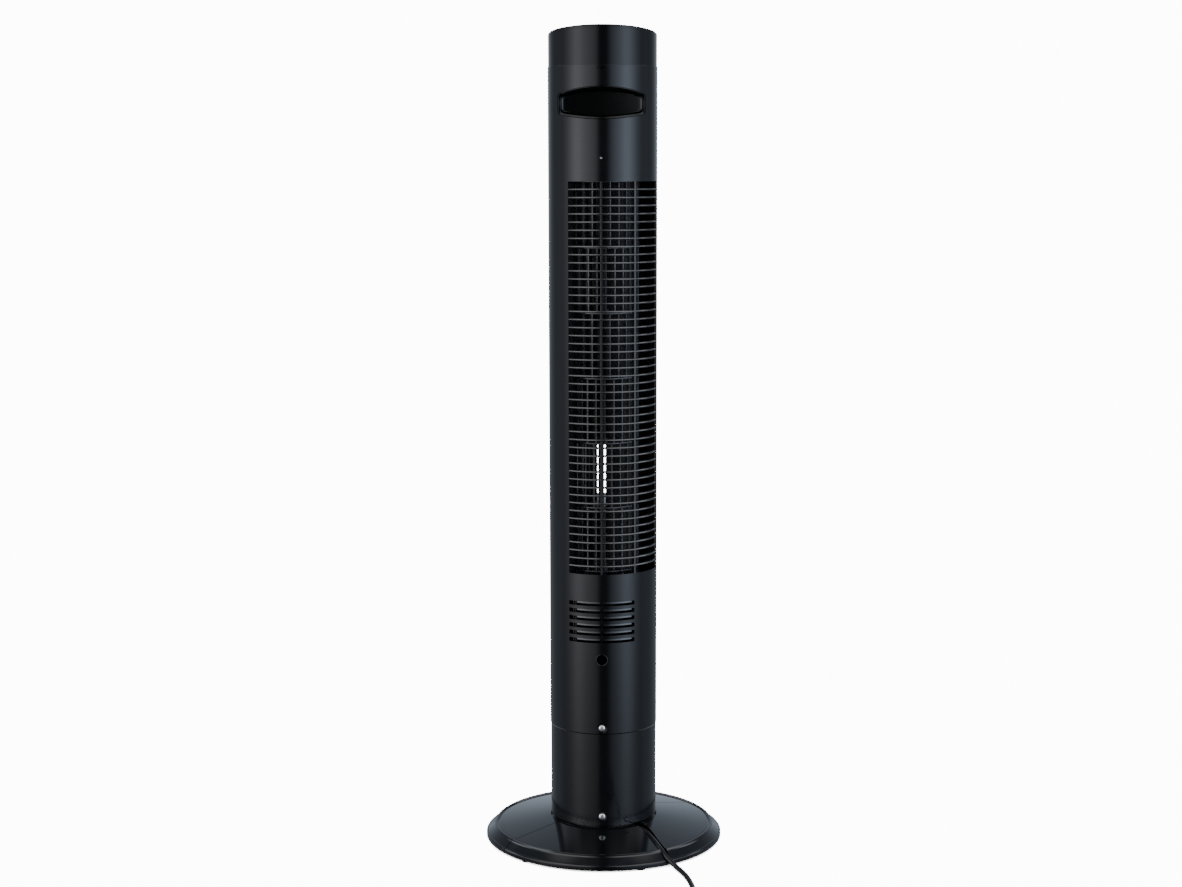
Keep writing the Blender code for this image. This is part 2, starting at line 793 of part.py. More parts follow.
def make_front_grille(tower):
    edge = OUTLET_HALF - 0.3
    slots = 2 * edge - 2 * FRONT_MARGIN + FRONT_BAR
    pitch = slots / FRONT_SLOTS
    angles = [180.0 - edge]
    for k in range(FRONT_SLOTS):
        first = 180.0 - edge + FRONT_MARGIN + pitch * k
        angles += [first, first + pitch - FRONT_BAR]
    angles.append(180.0 + edge)
    heights = [OUTLET_LOW + GAP]
    for k in range(SEGMENTS):
        disc = LOWEST_DISC + SEGMENT * k
        heights += [disc + 2.0, disc + SEGMENT - 2.0]
    heights.append(OUTLET_HIGH - GAP)

    def is_open(i, j):
        return i % 2 == 1 and j % 2 == 1

    finish = plastic("front_grille", roughness=0.4)
    attach(curved_panel("front_grille", BODY_RADIUS - 0.3, angles, heights, is_open, finish), tower)


def bulkhead_profile(low, hole, rim):
    """A round plate with a hole and a rim; rim is the height that the rim reaches."""
    high = low + BULKHEAD_THICK
    inside = FITTED_RADIUS - FITTED_WALL
    if rim > low:
        lower = [(hole, low), (inside, low)]
        upper = [(FITTED_RADIUS, low), (FITTED_RADIUS, rim), (inside, rim), (inside, high)]
        return lower + upper + [(hole, high)]
    lower = [(hole, low), (inside, low), (inside, rim), (FITTED_RADIUS, rim)]
    return lower + [(FITTED_RADIUS, high), (hole, high)]


def make_bulkheads(tower, crown):
    low_profile = bulkhead_profile(LOW_BULKHEAD, 15.0, LOW_BULKHEAD - 14.0)
    low = turned("motor_bulkhead", low_profile, plastic("motor_bulkhead", 0.02, 0.5), 24)
    attach(low, tower)
    high_profile = bulkhead_profile(HIGH_BULKHEAD, 9.4, 867.0)
    high = turned("top_bulkhead", high_profile, plastic("top_bulkhead", 0.02, 0.5), 24)
    attach(high, tower)
    made, drill = screw("top_screw", TOP_SCREW_Z, 65.1, 2.0, 1.4, 1.2, 6.0, 57.0)
    attach(made, tower)
    cut(high, drill)
    start, end = (0, 64.9, TOP_SCREW_Z), (0, 75, TOP_SCREW_Z)
    cut(crown, plain_rod("top_screw_mouth", start, end, 2.4, plastic("drill"), 12))
    body = [(3.2, 839.0), (9.0, 839.0), (9.0, 845.3)]
    flange = [(12.0, 845.3), (12.0, 848.3), (3.2, 848.3)]
    bronze = material("bearing_bush", (0.55, 0.4, 0.2), 0.4, 1.0)
    attach(turned("bearing_bush", body + flange, bronze, 20), tower)
    return low


def scroll_line():
    """The guide wall that opens out from the impeller towards the outlet on the +X side."""
    line = [spot(63.9, -39.3), spot(56.0, -40.0)]
    for angle in spread(-43.5, -135.0, 8):
        grown = (angle + 43.5) / (135.0 - 43.5)
        line.append(spot(49.0 - 13.6 * grown, angle))
    return line


def tongue_line():
    """The folded wall that parts intake from outlet on the -X side."""
    return [spot(radius, angle) for radius, angle in TONGUE]


def make_duct(tower):
    low = LOW_BULKHEAD + BULKHEAD_THICK + GAP
    high = HIGH_BULKHEAD - GAP
    for name, line in (("scroll_wall", scroll_line()), ("tongue_wall", tongue_line())):
        attach(wall(name, line, 1.8, low, high, plastic(name, 0.01, 0.5)), tower)


def make_fan_motor(tower, bulkhead):
    profile = [
        (0.0, MOTOR_LOW),
        (34.0, MOTOR_LOW),
        (34.0, MOTOR_LOW + 8),
        (MOTOR_RADIUS, MOTOR_LOW + 8),
        (MOTOR_RADIUS, 326.0),
        (34.0, 326.0),
        (34.0, LOW_BULKHEAD - GAP),
        (SHAFT_RADIUS + 0.35, LOW_BULKHEAD - GAP),
        (SHAFT_RADIUS + 0.35, 300.0),
        (0.0, 300.0),
    ]
    attach(turned("fan_motor", profile, steel("fan_motor", 0.45, 0.45), 24), tower)
    for i in range(3):
        x, y = spot(27.0, 60.0 + 120.0 * i)
        start, end = (x, y, 338.3), (x, y, 343.8)
        radii = [(0, 1.7), (0.62, 1.7), (0.62, 3.4), (1, 3.4)]
        attach(rod(f"motor_screw_{i + 1}", start, end, radii, steel("motor_screw"), 10), tower)
        hole = plain_rod(f"motor_hole_{i + 1}", (x, y, 330.0), (x, y, 350.0), 2.0, plastic("drill"), 10)
        cut(bulkhead, hole)
    box_low, box_high = (-14.0, -60.0, 286.0), (14.0, -46.0, 322.0)
    attach(block("motor_capacitor", box_low, box_high, plastic("motor_capacitor", 0.5, 0.5)), tower)


def make_impeller(tower):
    spin = bpy.data.objects.new("impeller_axis", None)
    bpy.context.scene.collection.objects.link(spin)
    spin.location = Vector((0.0, 0.0, LOWEST_DISC)) * MM
    discs = bmesh.new()
    for k in range(SEGMENTS + 1):
        low = LOWEST_DISC + SEGMENT * k - DISC_THICK / 2
        high = low + DISC_THICK
        profile = [(0.0, low), (IMPELLER_RADIUS, low), (IMPELLER_RADIUS, high), (0.0, high)]
        if k == 0:
            bore = SHAFT_RADIUS + 0.3
            boss = [(0.0, low + 0.8), (bore, low + 0.8), (bore, 343.6), (11.0, 343.6), (11.0, low)]
            profile = boss + profile[1:]
        if k == SEGMENTS:
            bore = PIN_RADIUS + 0.3
            boss = [(8.0, high), (8.0, high + 4.0), (bore, high + 4.0), (bore, high - 0.8)]
            profile = profile[:-1] + boss + [(0.0, high - 0.8)]
        add_turned(discs, profile, BLADES)
    impeller = make("impeller", discs, plastic("impeller", 0.015, 0.4))
    blades = bmesh.new()
    for k in range(SEGMENTS):
        low = LOWEST_DISC + SEGMENT * k + DISC_THICK / 4
        high = low + SEGMENT - DISC_THICK / 2
        for i in range(BLADES):
            tip = BLADE_PHASES[k] + 360.0 / BLADES * i
            inner = Vector(spot(BLADE_INSIDE, tip - BLADE_SWEEP))
            outer = Vector(spot(IMPELLER_RADIUS - 0.9, tip))
            side = (outer - inner).normalized().orthogonal() * BLADE_THICK / 2
            outline = [inner - side, outer - side, outer + side, inner + side]
            add_prism(blades, [(*p, low) for p in outline], [(*p, high) for p in outline])
    join(impeller, make("blade_set", blades, plastic("impeller_blades")))
    attach(impeller, spin, (0.0, 0.0, LOWEST_DISC))
    start, end = (0, 0, 301.0), (0, 0, 350.2)
    shaft = plain_rod("motor_shaft", start, end, SHAFT_RADIUS, steel("motor_shaft"), 16)
    attach(shaft, spin, (0.0, 0.0, LOWEST_DISC))
    top = LOWEST_DISC + SEGMENT * SEGMENTS + DISC_THICK / 2
    start, end = (0, 0, top - 0.4), (0, 0, 850.5)
    pin = plain_rod("impeller_pin", start, end, PIN_RADIUS, steel("impeller_pin"), 16)
    attach(pin, spin, (0.0, 0.0, LOWEST_DISC))


# Top


def make_top_cap(tower):
    profile = [
        (CAP_RADIUS, CAP_LOW),
        (CAP_RADIUS, -1.0, True),
        (CAP_RADIUS - 1.0, 0.0, True),
        (PANEL_RADIUS + 0.4, 0.0, True),
        (PANEL_RADIUS + 0.4, -2.4, True),
        (50.0, -2.4, True),
        (50.0, -4.6, True),
        (FITTED_RADIUS - FITTED_WALL, -4.6, True),
        (FITTED_RADIUS - FITTED_WALL, 962.0),
        (FITTED_RADIUS, 962.0),
        (FITTED_RADIUS, CAP_LOW),
    ]
    attach(turned("top_cap", profile, plastic("top_cap", roughness=0.25), 28), tower)


def on_top(x, y, drop=0.0):
    """A point on the sloped top, or below it by a drop along its normal."""
    lean = math.radians(TOP_LEAN)
    normal = Vector((0.0, -math.sin(lean), math.cos(lean)))
    along = Vector((0.0, math.cos(lean), math.sin(lean)))
    return Vector((x, 0.0, TOP_CENTRE)) + along * y - normal * drop


def button_spot(x):
    return x, -18.0 + x * x / 128.0


def tilted_block(name, x_range, y_range, drops, finish):
    """A box that leans with the sloped top; drops are its top and bottom below it."""
    (x0, x1), (y0, y1) = x_range, y_range
    corners = [(x0, y0), (x1, y0), (x1, y1), (x0, y1)]
    bottom = [on_top(x, y, drops[1]) for x, y in corners]
    top = [on_top(x, y, drops[0]) for x, y in corners]
    mesh = bmesh.new()
    add_prism(mesh, bottom, top)
    return make(name, mesh, finish)


def make_control_panel(tower):
    low = -PANEL_THICK
    profile = [(0.0, low, True), (PANEL_RADIUS, low, True), (PANEL_RADIUS, 0.0, True), (0.0, 0.0, True)]
    panel = attach(turned("control_panel", profile, plastic("control_panel", 0.005, 0.08), 28), tower)
    wide, low_y, high_y = LENS
    window_x, window_y = (-wide - GAP, wide + GAP), (low_y - GAP, high_y + GAP)
    window = tilted_block("window_cutter", window_x, window_y, (-3.0, 5.0), plastic("drill"))
    cut(panel, window)
    smoked = material("display_lens", (0.01, 0.01, 0.012), 0.05)
    attach(tilted_block("display_lens", (-wide, wide), (low_y, high_y), (0.1, 1.8), smoked), tower)
    green = material("control_board", (0.02, 0.16, 0.06), 0.5)
    thickness = (BOARD_DROP, BOARD_DROP + 1.6)
    board = attach(tilted_block("control_board", (-42.0, 42.0), (-30.0, 32.0), thickness, green), tower)
    for name, x in BUTTON_X.items():
        place = button_spot(x)
        above, below = on_top(*place, -6.0), on_top(*place, 6.0)
        cut(panel, plain_rod(f"{name}_hole", below, above, BUTTON_RADIUS + 0.4, plastic("drill"), 14))
        make_switch(board, name, place)
        make_button(name, place)
    for i, (x, y) in enumerate(((-38.0, -27.0), (38.0, -27.0), (-38.0, 28.0), (38.0, 28.0))):
        low, high = on_top(x, y, BOARD_DROP - GAP), on_top(x, y, 1.0)
        join(panel, plain_rod(f"panel_post_{i + 1}", low, high, 2.5, plastic("post"), 10))


def make_switch(board, name, place):
    """The little switch on the board under a button."""
    (x, y), half = place, 3.0
    wide, deep = (x - half, x + half), (y - half, y + half)
    heights = (BOARD_DROP - 3.2, BOARD_DROP + 0.8)
    join(board, tilted_block(f"{name}_switch", wide, deep, heights, plastic("tact_switch")))


def make_button(name, place):
    """A round key: domed cap, retaining flange and a stem that reaches down to its switch."""
    flange, stem = BUTTON_RADIUS + 1.4, 2.4
    cap = [(-1.0, 4.6), (-0.4, BUTTON_RADIUS), (2.3, BUTTON_RADIUS)]
    steps = cap + [(2.3, flange), (3.7, flange), (3.7, stem), (9.4, stem)]
    top, bottom = steps[0][0], steps[-1][0]
    radii = [((drop - top) / (bottom - top), radius) for drop, radius in steps]
    finish = plastic(f"{name}_button", 0.03, 0.3)
    key = rod(f"{name}_button", on_top(*place, top), on_top(*place, bottom), radii, finish, 12)
    centre = on_top(*place)
    axis = bpy.data.objects.new(f"{name}_button_axis", None)
    bpy.context.scene.collection.objects.link(axis)
    axis.location = centre * MM
    attach(key, axis, centre)


# Mains lead


def make_lead():
    black = plastic("cord", 0.015, 0.45)
    make_gland()
    cord("power_cord", LEAD_ROUTE, black)
    inner, outer = COIL_INSIDE, COIL_OUTSIDE
    ring = [(inner, COIL_LOW), (outer, COIL_LOW), (outer, COIL_HIGH), (inner, COIL_HIGH)]
    turned("cord_coil", ring, black, 24, centre=COIL_CENTRE)
    cord("cord_tail", TAIL_ROUTE, black)
    make_tie()
    make_plug()


def make_gland():
    """The tapered strain relief that holds the lead where it leaves the collar."""
    line = [Vector(p) for p in GLAND_ROUTE]
    sections = []
    for i, here in enumerate(line):
        along = line[min(i + 1, len(line) - 1)] - line[max(i - 1, 0)]
        radius = 4.2 - 0.5 * i / (len(line) - 1)
        sections.append(round_loop(here, along, radius, 12))
    lofted("cord_gland", sections, plastic("cord_gland"))


def make_tie():
    """A strap round the coil's turns, on its +X side."""
    half = TIE_WIDTH / 2
    x, y = COIL_CENTRE
    mesh = bmesh.new()
    rings = []
    for grow in (GAP, GAP + TIE_THICK):
        low_x, high_x = x + COIL_INSIDE - grow - 0.8, x + COIL_OUTSIDE + grow
        low_z, high_z = COIL_LOW - grow, COIL_HIGH + grow
        corners = [(low_x, low_z), (high_x, low_z), (high_x, high_z), (low_x, high_z)]
        for side in (-half, half):
            rings.append([mesh.verts.new((across_x, y + side, z)) for across_x, z in corners])
    near_in, far_in, near_out, far_out = rings
    for a, b in ((near_in, far_in), (near_out, far_out), (near_in, near_out), (far_in, far_out)):
        for k in range(4):
            n = (k + 1) % 4
            mesh.faces.new([a[k], a[n], b[n], b[k]])
    make("cord_tie", mesh, plastic("cord_tie", 0.02, 0.5))


def make_plug():
    """A flat two-pin plug lying on the floor, with a tapered sleeve towards the lead."""
    sections = []
    for x, half_width, half_height in PLUG_SHAPE:
        flat = half_height / half_width
        sections.append(round_loop((x, PLUG_Y, PLUG_Z), (1, 0, 0), half_width, 12, flat))
    lofted("plug", sections, plastic("plug", 0.015, 0.4))
    brass = material("plug_pin", (0.7, 0.55, 0.25), 0.25, 1.0)
    for i, side in enumerate((-9.0, 9.0)):
        y = PLUG_Y + side
        plain_rod(f"plug_pin_{i + 1}", (42.0 + GAP, y, PLUG_Z), (61.0, y, PLUG_Z), 2.0, brass, 12)


def main():
    for thing in list(bpy.data.objects):
        bpy.data.objects.remove(thing, do_unlink=True)
    tower = bpy.data.objects.new("tower_axis", None)
    bpy.context.scene.collection.objects.link(tower)
    tower.location = Vector((0.0, 0.0, BODY_LOW)) * MM
    base_rear = make_base()
    make_neck(base_rear)
    table = make_turntable(tower)
    make_swing_drive(tower)
    make_rear_housing(tower, table)
    crown = make_rear_crown(tower)
    make_front_housing(tower)
    make_front_grille(tower)
    bulkhead = make_bulkheads(tower, crown)
    make_duct(tower)
    make_fan_motor(tower, bulkhead)
    make_impeller(tower)
    make_top_cap(tower)
    make_control_panel(tower)
    make_lead()


main()
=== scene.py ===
"""Looks for the tower fan: fine shapes, materials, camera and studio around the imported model.

Sizes are in millimetres until a mesh is made. Angles are in degrees from the rear middle (+Y),
counter-clockwise seen from above, so an angle above 0 is on the -X side.
"""

import math

import bmesh
import bpy
from mathutils import Matrix, Vector


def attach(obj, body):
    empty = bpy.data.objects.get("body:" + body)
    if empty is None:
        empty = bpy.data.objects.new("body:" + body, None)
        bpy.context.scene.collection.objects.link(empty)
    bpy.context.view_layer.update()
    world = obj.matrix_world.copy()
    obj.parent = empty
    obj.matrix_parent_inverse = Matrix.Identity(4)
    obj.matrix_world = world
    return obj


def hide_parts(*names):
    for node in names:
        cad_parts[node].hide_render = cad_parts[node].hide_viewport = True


MM = 0.001

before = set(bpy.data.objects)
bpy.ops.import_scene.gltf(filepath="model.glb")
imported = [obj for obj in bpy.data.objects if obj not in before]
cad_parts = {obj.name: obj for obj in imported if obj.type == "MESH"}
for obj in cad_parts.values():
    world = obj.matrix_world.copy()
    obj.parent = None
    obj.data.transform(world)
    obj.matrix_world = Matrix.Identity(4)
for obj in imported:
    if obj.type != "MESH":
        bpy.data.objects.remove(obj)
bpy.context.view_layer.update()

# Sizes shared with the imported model
BODY_RADIUS = 67.4
BODY_LOW = 149.5
BODY_HIGH = 970.4
WALL = 2.2
CAP_RADIUS = 66.8
CAP_LOW = 971.0
TOP_CENTRE = 1009.8
TOP_LEAN = 7.2
PANEL_RADIUS = 55.6
NECK_RADIUS = 66.7
NECK_LOW = 31.5
NECK_HIGH = 149.2
SEAM = -54.0
GRILLE_LEFT = -37.2
GRILLE_RIB = 37.6
GRILLE_RIGHT = 80.0
GRILLE_LOW = 351.5
GRILLE_HIGH = 832.0
SLATS = 48
SLAT_PITCH = 9.81
TOP_SLAT = 822.5
VENT_LOW = 265.6
VENT_ROWS = 6
VENT_PITCH = 9.3
VENT_SLOT = 5.1
OUTLET_HALF = 44.0
OUTLET_LOW = 345.0
OUTLET_HIGH = 838.0
FRONT_SLOTS = 11
IMPELLER_RADIUS = 45.0
BLADE_INSIDE = 35.75
BLADES = 25
BLADE_SWEEP = 8.19
BLADE_BOW = 1.73
BLADE_PHASES = (4.8, 1.5, 5.1, 13.2, 6.9, 13.8)  # degrees, one for each segment from the lowest up
SEGMENTS = 6
SEGMENT = 80.17
LOWEST_DISC = 351.0
BUTTON_X = {"power": 0.0, "speed": -16.0, "timer": -32.0, "mode": 16.0, "swing": 32.0}
CORD_DIAMETER = 6.5
COIL_CENTRE = (-67.0, 294.0)
PLUG_Y = 335.0
PLUG_HEIGHT = 6.9


# Camera, behind the fan and a little below the level of its top


def make_camera():
    turn, yaw, tilt, roll = math.radians(1.6), -0.0059117, 0.132602, -0.0021679
    distance, height, lens = 2550.19, 846.03, 62.515
    away = Vector((math.sin(turn), -math.cos(turn), 0.0))
    right = Vector((-math.cos(turn), -math.sin(turn), 0.0))
    level = right * math.sin(yaw) + away * math.cos(yaw)
    forward = level * math.cos(tilt) - Vector((0, 0, math.sin(tilt)))
    right = right * math.cos(yaw) - away * math.sin(yaw)
    up = right.cross(forward)
    right, up = (
        right * math.cos(roll) + up * math.sin(roll),
        up * math.cos(roll) - right * math.sin(roll),
    )
    data = bpy.data.cameras.new("camera")
    data.sensor_width = 36.0
    data.sensor_fit = "HORIZONTAL"
    data.lens = lens
    data.clip_start, data.clip_end = 0.01, 60.0
    camera = bpy.data.objects.new("camera", data)
    place = (-away * distance + Vector((0, 0, height))) * MM
    turned = Matrix((right, up, -forward)).transposed().to_4x4()
    camera.matrix_world = Matrix.Translation(place) @ turned
    bpy.context.scene.collection.objects.link(camera)
    bpy.context.scene.camera = camera


make_camera()


# Shapes


def spot(radius, angle):
    turn = math.radians(angle)
    return -radius * math.sin(turn), radius * math.cos(turn)


def top_height(y):
    return TOP_CENTRE + y * math.tan(math.radians(TOP_LEAN))


def spread(first, last, steps):
    return [first + (last - first) * i / steps for i in range(steps + 1)]


def make(name, mesh, finish, sharp=32):
    bmesh.ops.recalc_face_normals(mesh, faces=mesh.faces)
    bmesh.ops.scale(mesh, vec=(MM, MM, MM), verts=mesh.verts)
    data = bpy.data.meshes.new(name)
    mesh.to_mesh(data)
    mesh.free()
    data.shade_smooth()
    data.set_sharp_from_angle(angle=math.radians(sharp))
    data.materials.append(finish)
    piece = bpy.data.objects.new(name, data)
    bpy.context.scene.collection.objects.link(piece)
    return piece


def on_body(piece, body, slot, *nodes):
    """The piece rides on a body and stands for CAD nodes, which it hides; slot is not used."""
    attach(piece, body)
    if nodes:
        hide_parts(*nodes)
    return piece


def applied(piece, sharp=32):
    """Applies the piece's modifiers."""
    bpy.context.view_layer.update()
    graph = bpy.context.evaluated_depsgraph_get()
    data = bpy.data.meshes.new_from_object(piece.evaluated_get(graph))
    piece.modifiers.clear()
    piece.data = data
    data.shade_smooth()
    data.set_sharp_from_angle(angle=math.radians(sharp))
    return piece


def cut(piece, *cutters):
    for cutter in cutters:
        change = piece.modifiers.new("cut", "BOOLEAN")
        change.operation = "DIFFERENCE"
        change.solver = "EXACT"
        change.object = cutter
    applied(piece)
    for cutter in cutters:
        bpy.data.objects.remove(cutter, do_unlink=True)
    return piece


def soften(piece, width, segments=2, angle=32):
    """Rounds the piece's sharp edges."""
    change = piece.modifiers.new("soften", "BEVEL")
    change.width = width * MM
    change.segments = segments
    change.limit_method = "ANGLE"
    change.angle_limit = math.radians(angle)
    change.harden_normals = False
    return applied(piece, 50)


def rounded(points, segments=5, closed=True):
    """A line through (u, v, corner radius) points with its corners rounded."""
    line = []
    count = len(points)
    for i, (u, v, radius) in enumerate(points):
        here = Vector((u, v))
        if radius <= 0 or (not closed and i in (0, count - 1)):
            line.append((u, v))
            continue
        before = Vector(points[i - 1][:2]) - here
        after = Vector(points[(i + 1) % count][:2]) - here
        half = before.angle(after) / 2
        reach = min(radius / math.tan(half), before.length * 0.499, after.length * 0.499)
        start, end = here + before.normalized() * reach, here + after.normalized() * reach
        for k in range(segments + 1):
            t = k / segments
            p = start * (1 - t) ** 2 + here * 2 * t * (1 - t) + end * t**2
            line.append((p.x, p.y))
    return line


def add_turned(mesh, profile, steps, start=0.0, sweep=360.0, centre=(0.0, 0.0), lean=False, closed=True):
    """Turns a profile of (radius, height) points; with lean, heights are measured from the sloped top."""
    whole = sweep >= 360.0
    rings = []
    for i in range(steps if whole else steps + 1):
        ring = []
        for radius, height in profile:
            x, y = spot(radius, start + sweep * i / steps)
            z = height + top_height(y) if lean and height < 500 else height
            ring.append(mesh.verts.new((centre[0] + x, centre[1] + y, z)))
        rings.append(ring)
    pairs = list(zip(rings, rings[1:] + rings[:1]))
    count = len(profile)
    for a, b in pairs if whole else pairs[:-1]:
        for k in range(count if closed else count - 1):
            n = (k + 1) % count
            mesh.faces.new([a[k], a[n], b[n], b[k]])
    if not whole and closed:
        mesh.faces.new(rings[0])
        mesh.faces.new(rings[-1][::-1])


def turned(name, profile, finish, steps=180, sharp=32, **options):
    mesh = bmesh.new()
    add_turned(mesh, profile, steps, **options)
    bmesh.ops.remove_doubles(mesh, verts=mesh.verts, dist=0.0005)
    return make(name, mesh, finish, sharp)


def add_loft(mesh, sections, caps=True):
    rings = [[mesh.verts.new(p) for p in loop] for loop in sections]
    count = len(sections[0])
    for a, b in zip(rings, rings[1:]):
        for k in range(count):
            n = (k + 1) % count
            mesh.faces.new([a[k], a[n], b[n], b[k]])
    if caps:
        mesh.faces.new(rings[0][::-1])
        mesh.faces.new(rings[-1])


def lofted(name, sections, finish, sharp=32):
    mesh = bmesh.new()
    add_loft(mesh, sections)
    return make(name, mesh, finish, sharp)


def across(direction):
    along = Vector(direction).normalized()
    side = along.cross(Vector((0, 0, 1)))
    if side.length < 0.01:
        side = Vector((1, 0, 0))
    side.normalize()
    return side, side.cross(along)


def round_loop(centre, direction, radius, sides, flat=1.0):
    side, up = across(direction)
    loop = []
    for i in range(sides):
        turn = 2 * math.pi * i / sides
        offset = side * math.cos(turn) * radius + up * math.sin(turn) * radius * flat
        loop.append(tuple(Vector(centre) + offset))
    return loop


def rod(name, start, end, steps, finish, sides=40, sharp=32):
    """A round bar; steps holds (distance from the start, radius)."""
    first, along = Vector(start), (Vector(end) - Vector(start)).normalized()
    sections = [round_loop(first + along * reach, along, max(radius, 0.01), sides) for reach,
        radius in steps]
    return lofted(name, sections, finish, sharp)


def true_round(piece, radius):
    """Gives a cut cylinder wall the normals of a whole cylinder."""
    data = piece.data
    normals = [Vector(n.vector) for n in data.corner_normals]
    for face in data.polygons:
        for loop in face.loop_indices:
            place = data.vertices[data.loops[loop].vertex_index].co
            out = Vector((place.x, place.y, 0.0))
            if abs(out.length - radius * MM) < 0.02 * MM and face.normal.dot(out.normalized()) > 0.4:
                normals[loop] = out.normalized()
    data.normals_split_custom_set(normals)
    return piece


def radial_prism(name, outline, inside, outside, finish):
    """A cutter through the column's wall; outline holds (arc length at the wall, height)."""
    loops = []
    for radius in (inside, outside):
        loops.append([(*spot(radius, math.degrees(s / BODY_RADIUS)), z) for s, z in outline])
    return lofted(name, loops, finish)


# Materials


def link(tree, source, target):
    tree.links.new(source, target)


def noise(tree, scale, detail=3.0, roughness=0.5, stretch=None):
    where = tree.nodes.new("ShaderNodeTexCoord").outputs["Object"]
    if stretch:
        mapping = tree.nodes.new("ShaderNodeMapping")
        mapping.inputs["Scale"].default_value = stretch
        link(tree, where, mapping.inputs["Vector"])
        where = mapping.outputs["Vector"]
    node = tree.nodes.new("ShaderNodeTexNoise")
    node.inputs["Scale"].default_value = scale
    node.inputs["Detail"].default_value = detail
    node.inputs["Roughness"].default_value = roughness
    link(tree, where, node.inputs["Vector"])
    return node.outputs["Fac"]


def ranged(tree, value, low, high, start=0.3, end=0.7):
    node = tree.nodes.new("ShaderNodeMapRange")
    node.inputs["From Min"].default_value = start
    node.inputs["From Max"].default_value = end
    node.inputs["To Min"].default_value = low
    node.inputs["To Max"].default_value = high
    link(tree, value, node.inputs["Value"])
    return node.outputs["Result"]


def blended(tree, value, dark, light, start=0.3, end=0.7):
    node = tree.nodes.new("ShaderNodeValToRGB")
    node.color_ramp.elements[0].position = start
    node.color_ramp.elements[0].color = (*dark, 1.0)
    node.color_ramp.elements[1].position = end
    node.color_ramp.elements[1].color = (*light, 1.0)
    link(tree, value, node.inputs["Fac"])
    return node.outputs["Color"]


def bumps(tree, shader, layers):
    """Layers of (height value, strength, distance in metres), one on top of the other."""
    normal = None
    for height, strength, distance in layers:
        node = tree.nodes.new("ShaderNodeBump")
        node.inputs["Strength"].default_value = strength
        node.inputs["Distance"].default_value = distance
        link(tree, height, node.inputs["Height"])
        if normal:
            link(tree, normal, node.inputs["Normal"])
        normal = node.outputs["Normal"]
    link(tree, normal, shader.inputs["Normal"])


def new_material(name, metallic=0.0, level=0.5):
    made = bpy.data.materials.new(name)
    made.use_nodes = True
    shader = made.node_tree.nodes["Principled BSDF"]
    shader.inputs["Metallic"].default_value = metallic
    shader.inputs["Specular IOR Level"].default_value = level
    return made, made.node_tree, shader


def black_plastic(name, shade, gloss, grain=0.0, ripple=0.02, coat=0.0, level=0.5):
    """Moulded black plastic: faint mottling, a slight ripple of the gloss and, if wanted, a fine grain."""
    made, tree, shader = new_material(name, 0.0, level)
    cloud = noise(tree, 9.0, 4.0)
    dark = tuple(c * 0.85 for c in shade)
    light = tuple(c * 1.2 for c in shade)
    link(tree, blended(tree, cloud, dark, light), shader.inputs["Base Color"])
    fine = noise(tree, 160.0, 3.0, 0.6)
    link(tree, ranged(tree, fine, gloss * 0.9, gloss * 1.12), shader.inputs["Roughness"])
    layers = [(noise(tree, 55.0, 2.0), ripple, 0.0005)]
    if grain:
        layers.append((noise(tree, 1400.0, 2.0, 0.7), grain, 0.0002))
    bumps(tree, shader, layers)
    if coat:
        shader.inputs["Coat Weight"].default_value = coat
        shader.inputs["Coat Roughness"].default_value = 0.04
    return made


def metal(name, colour, gloss, brushed=None):
    made, tree, shader = new_material(name, 1.0)
    cloud = noise(tree, 240.0, 3.0, 0.6, brushed)
    dark = tuple(c * 0.78 for c in colour)
    link(tree, blended(tree, cloud, dark, colour), shader.inputs["Base Color"])
    link(tree, ranged(tree, cloud, gloss * 0.8, gloss * 1.3), shader.inputs["Roughness"])
    bumps(tree, shader, [(noise(tree, 900.0, 2.0, 0.6, brushed), 0.05, 0.0001)])
    return made


def rubber(name, shade, gloss, grain=0.12):
    made, tree, shader = new_material(name, 0.0, 0.4)
    cloud = noise(tree, 60.0, 4.0)
    dark = tuple(c * 0.8 for c in shade)
    light = tuple(c * 1.3 for c in shade)
    link(tree, blended(tree, cloud, dark, light), shader.inputs["Base Color"])
    link(tree, ranged(tree, noise(tree, 300.0), gloss * 0.9, gloss * 1.15), shader.inputs["Roughness"])
    bumps(tree, shader, [(noise(tree, 1100.0, 3.0, 0.7), grain, 0.0002)])
    return made


BODY = black_plastic("body_plastic", (0.0036, 0.0038, 0.0050), 0.15, ripple=0.012)
BASE = black_plastic("base_plastic", (0.0034, 0.0036, 0.0048), 0.075, ripple=0.012)
CAP = black_plastic("cap_plastic", (0.0036, 0.0038, 0.0050), 0.11, ripple=0.010, level=0.40)
# Cup plastic: a darker copy of the body plastic, painted shade in the hand hold's recess.
CUP = black_plastic("cup_plastic_painted_shade", (0.0012, 0.0014, 0.0018), 0.15, ripple=0.01)
# Grille plastic: about three times lighter than the body plastic, painted sheen on the bars and louvres.
SLAT = black_plastic("grille_plastic_painted_sheen", (0.0120, 0.0122, 0.0130), 0.22, ripple=0.01, level=1.0)
INNER = black_plastic("inner_plastic", (0.0045, 0.0045, 0.0050), 0.5, grain=0.05)
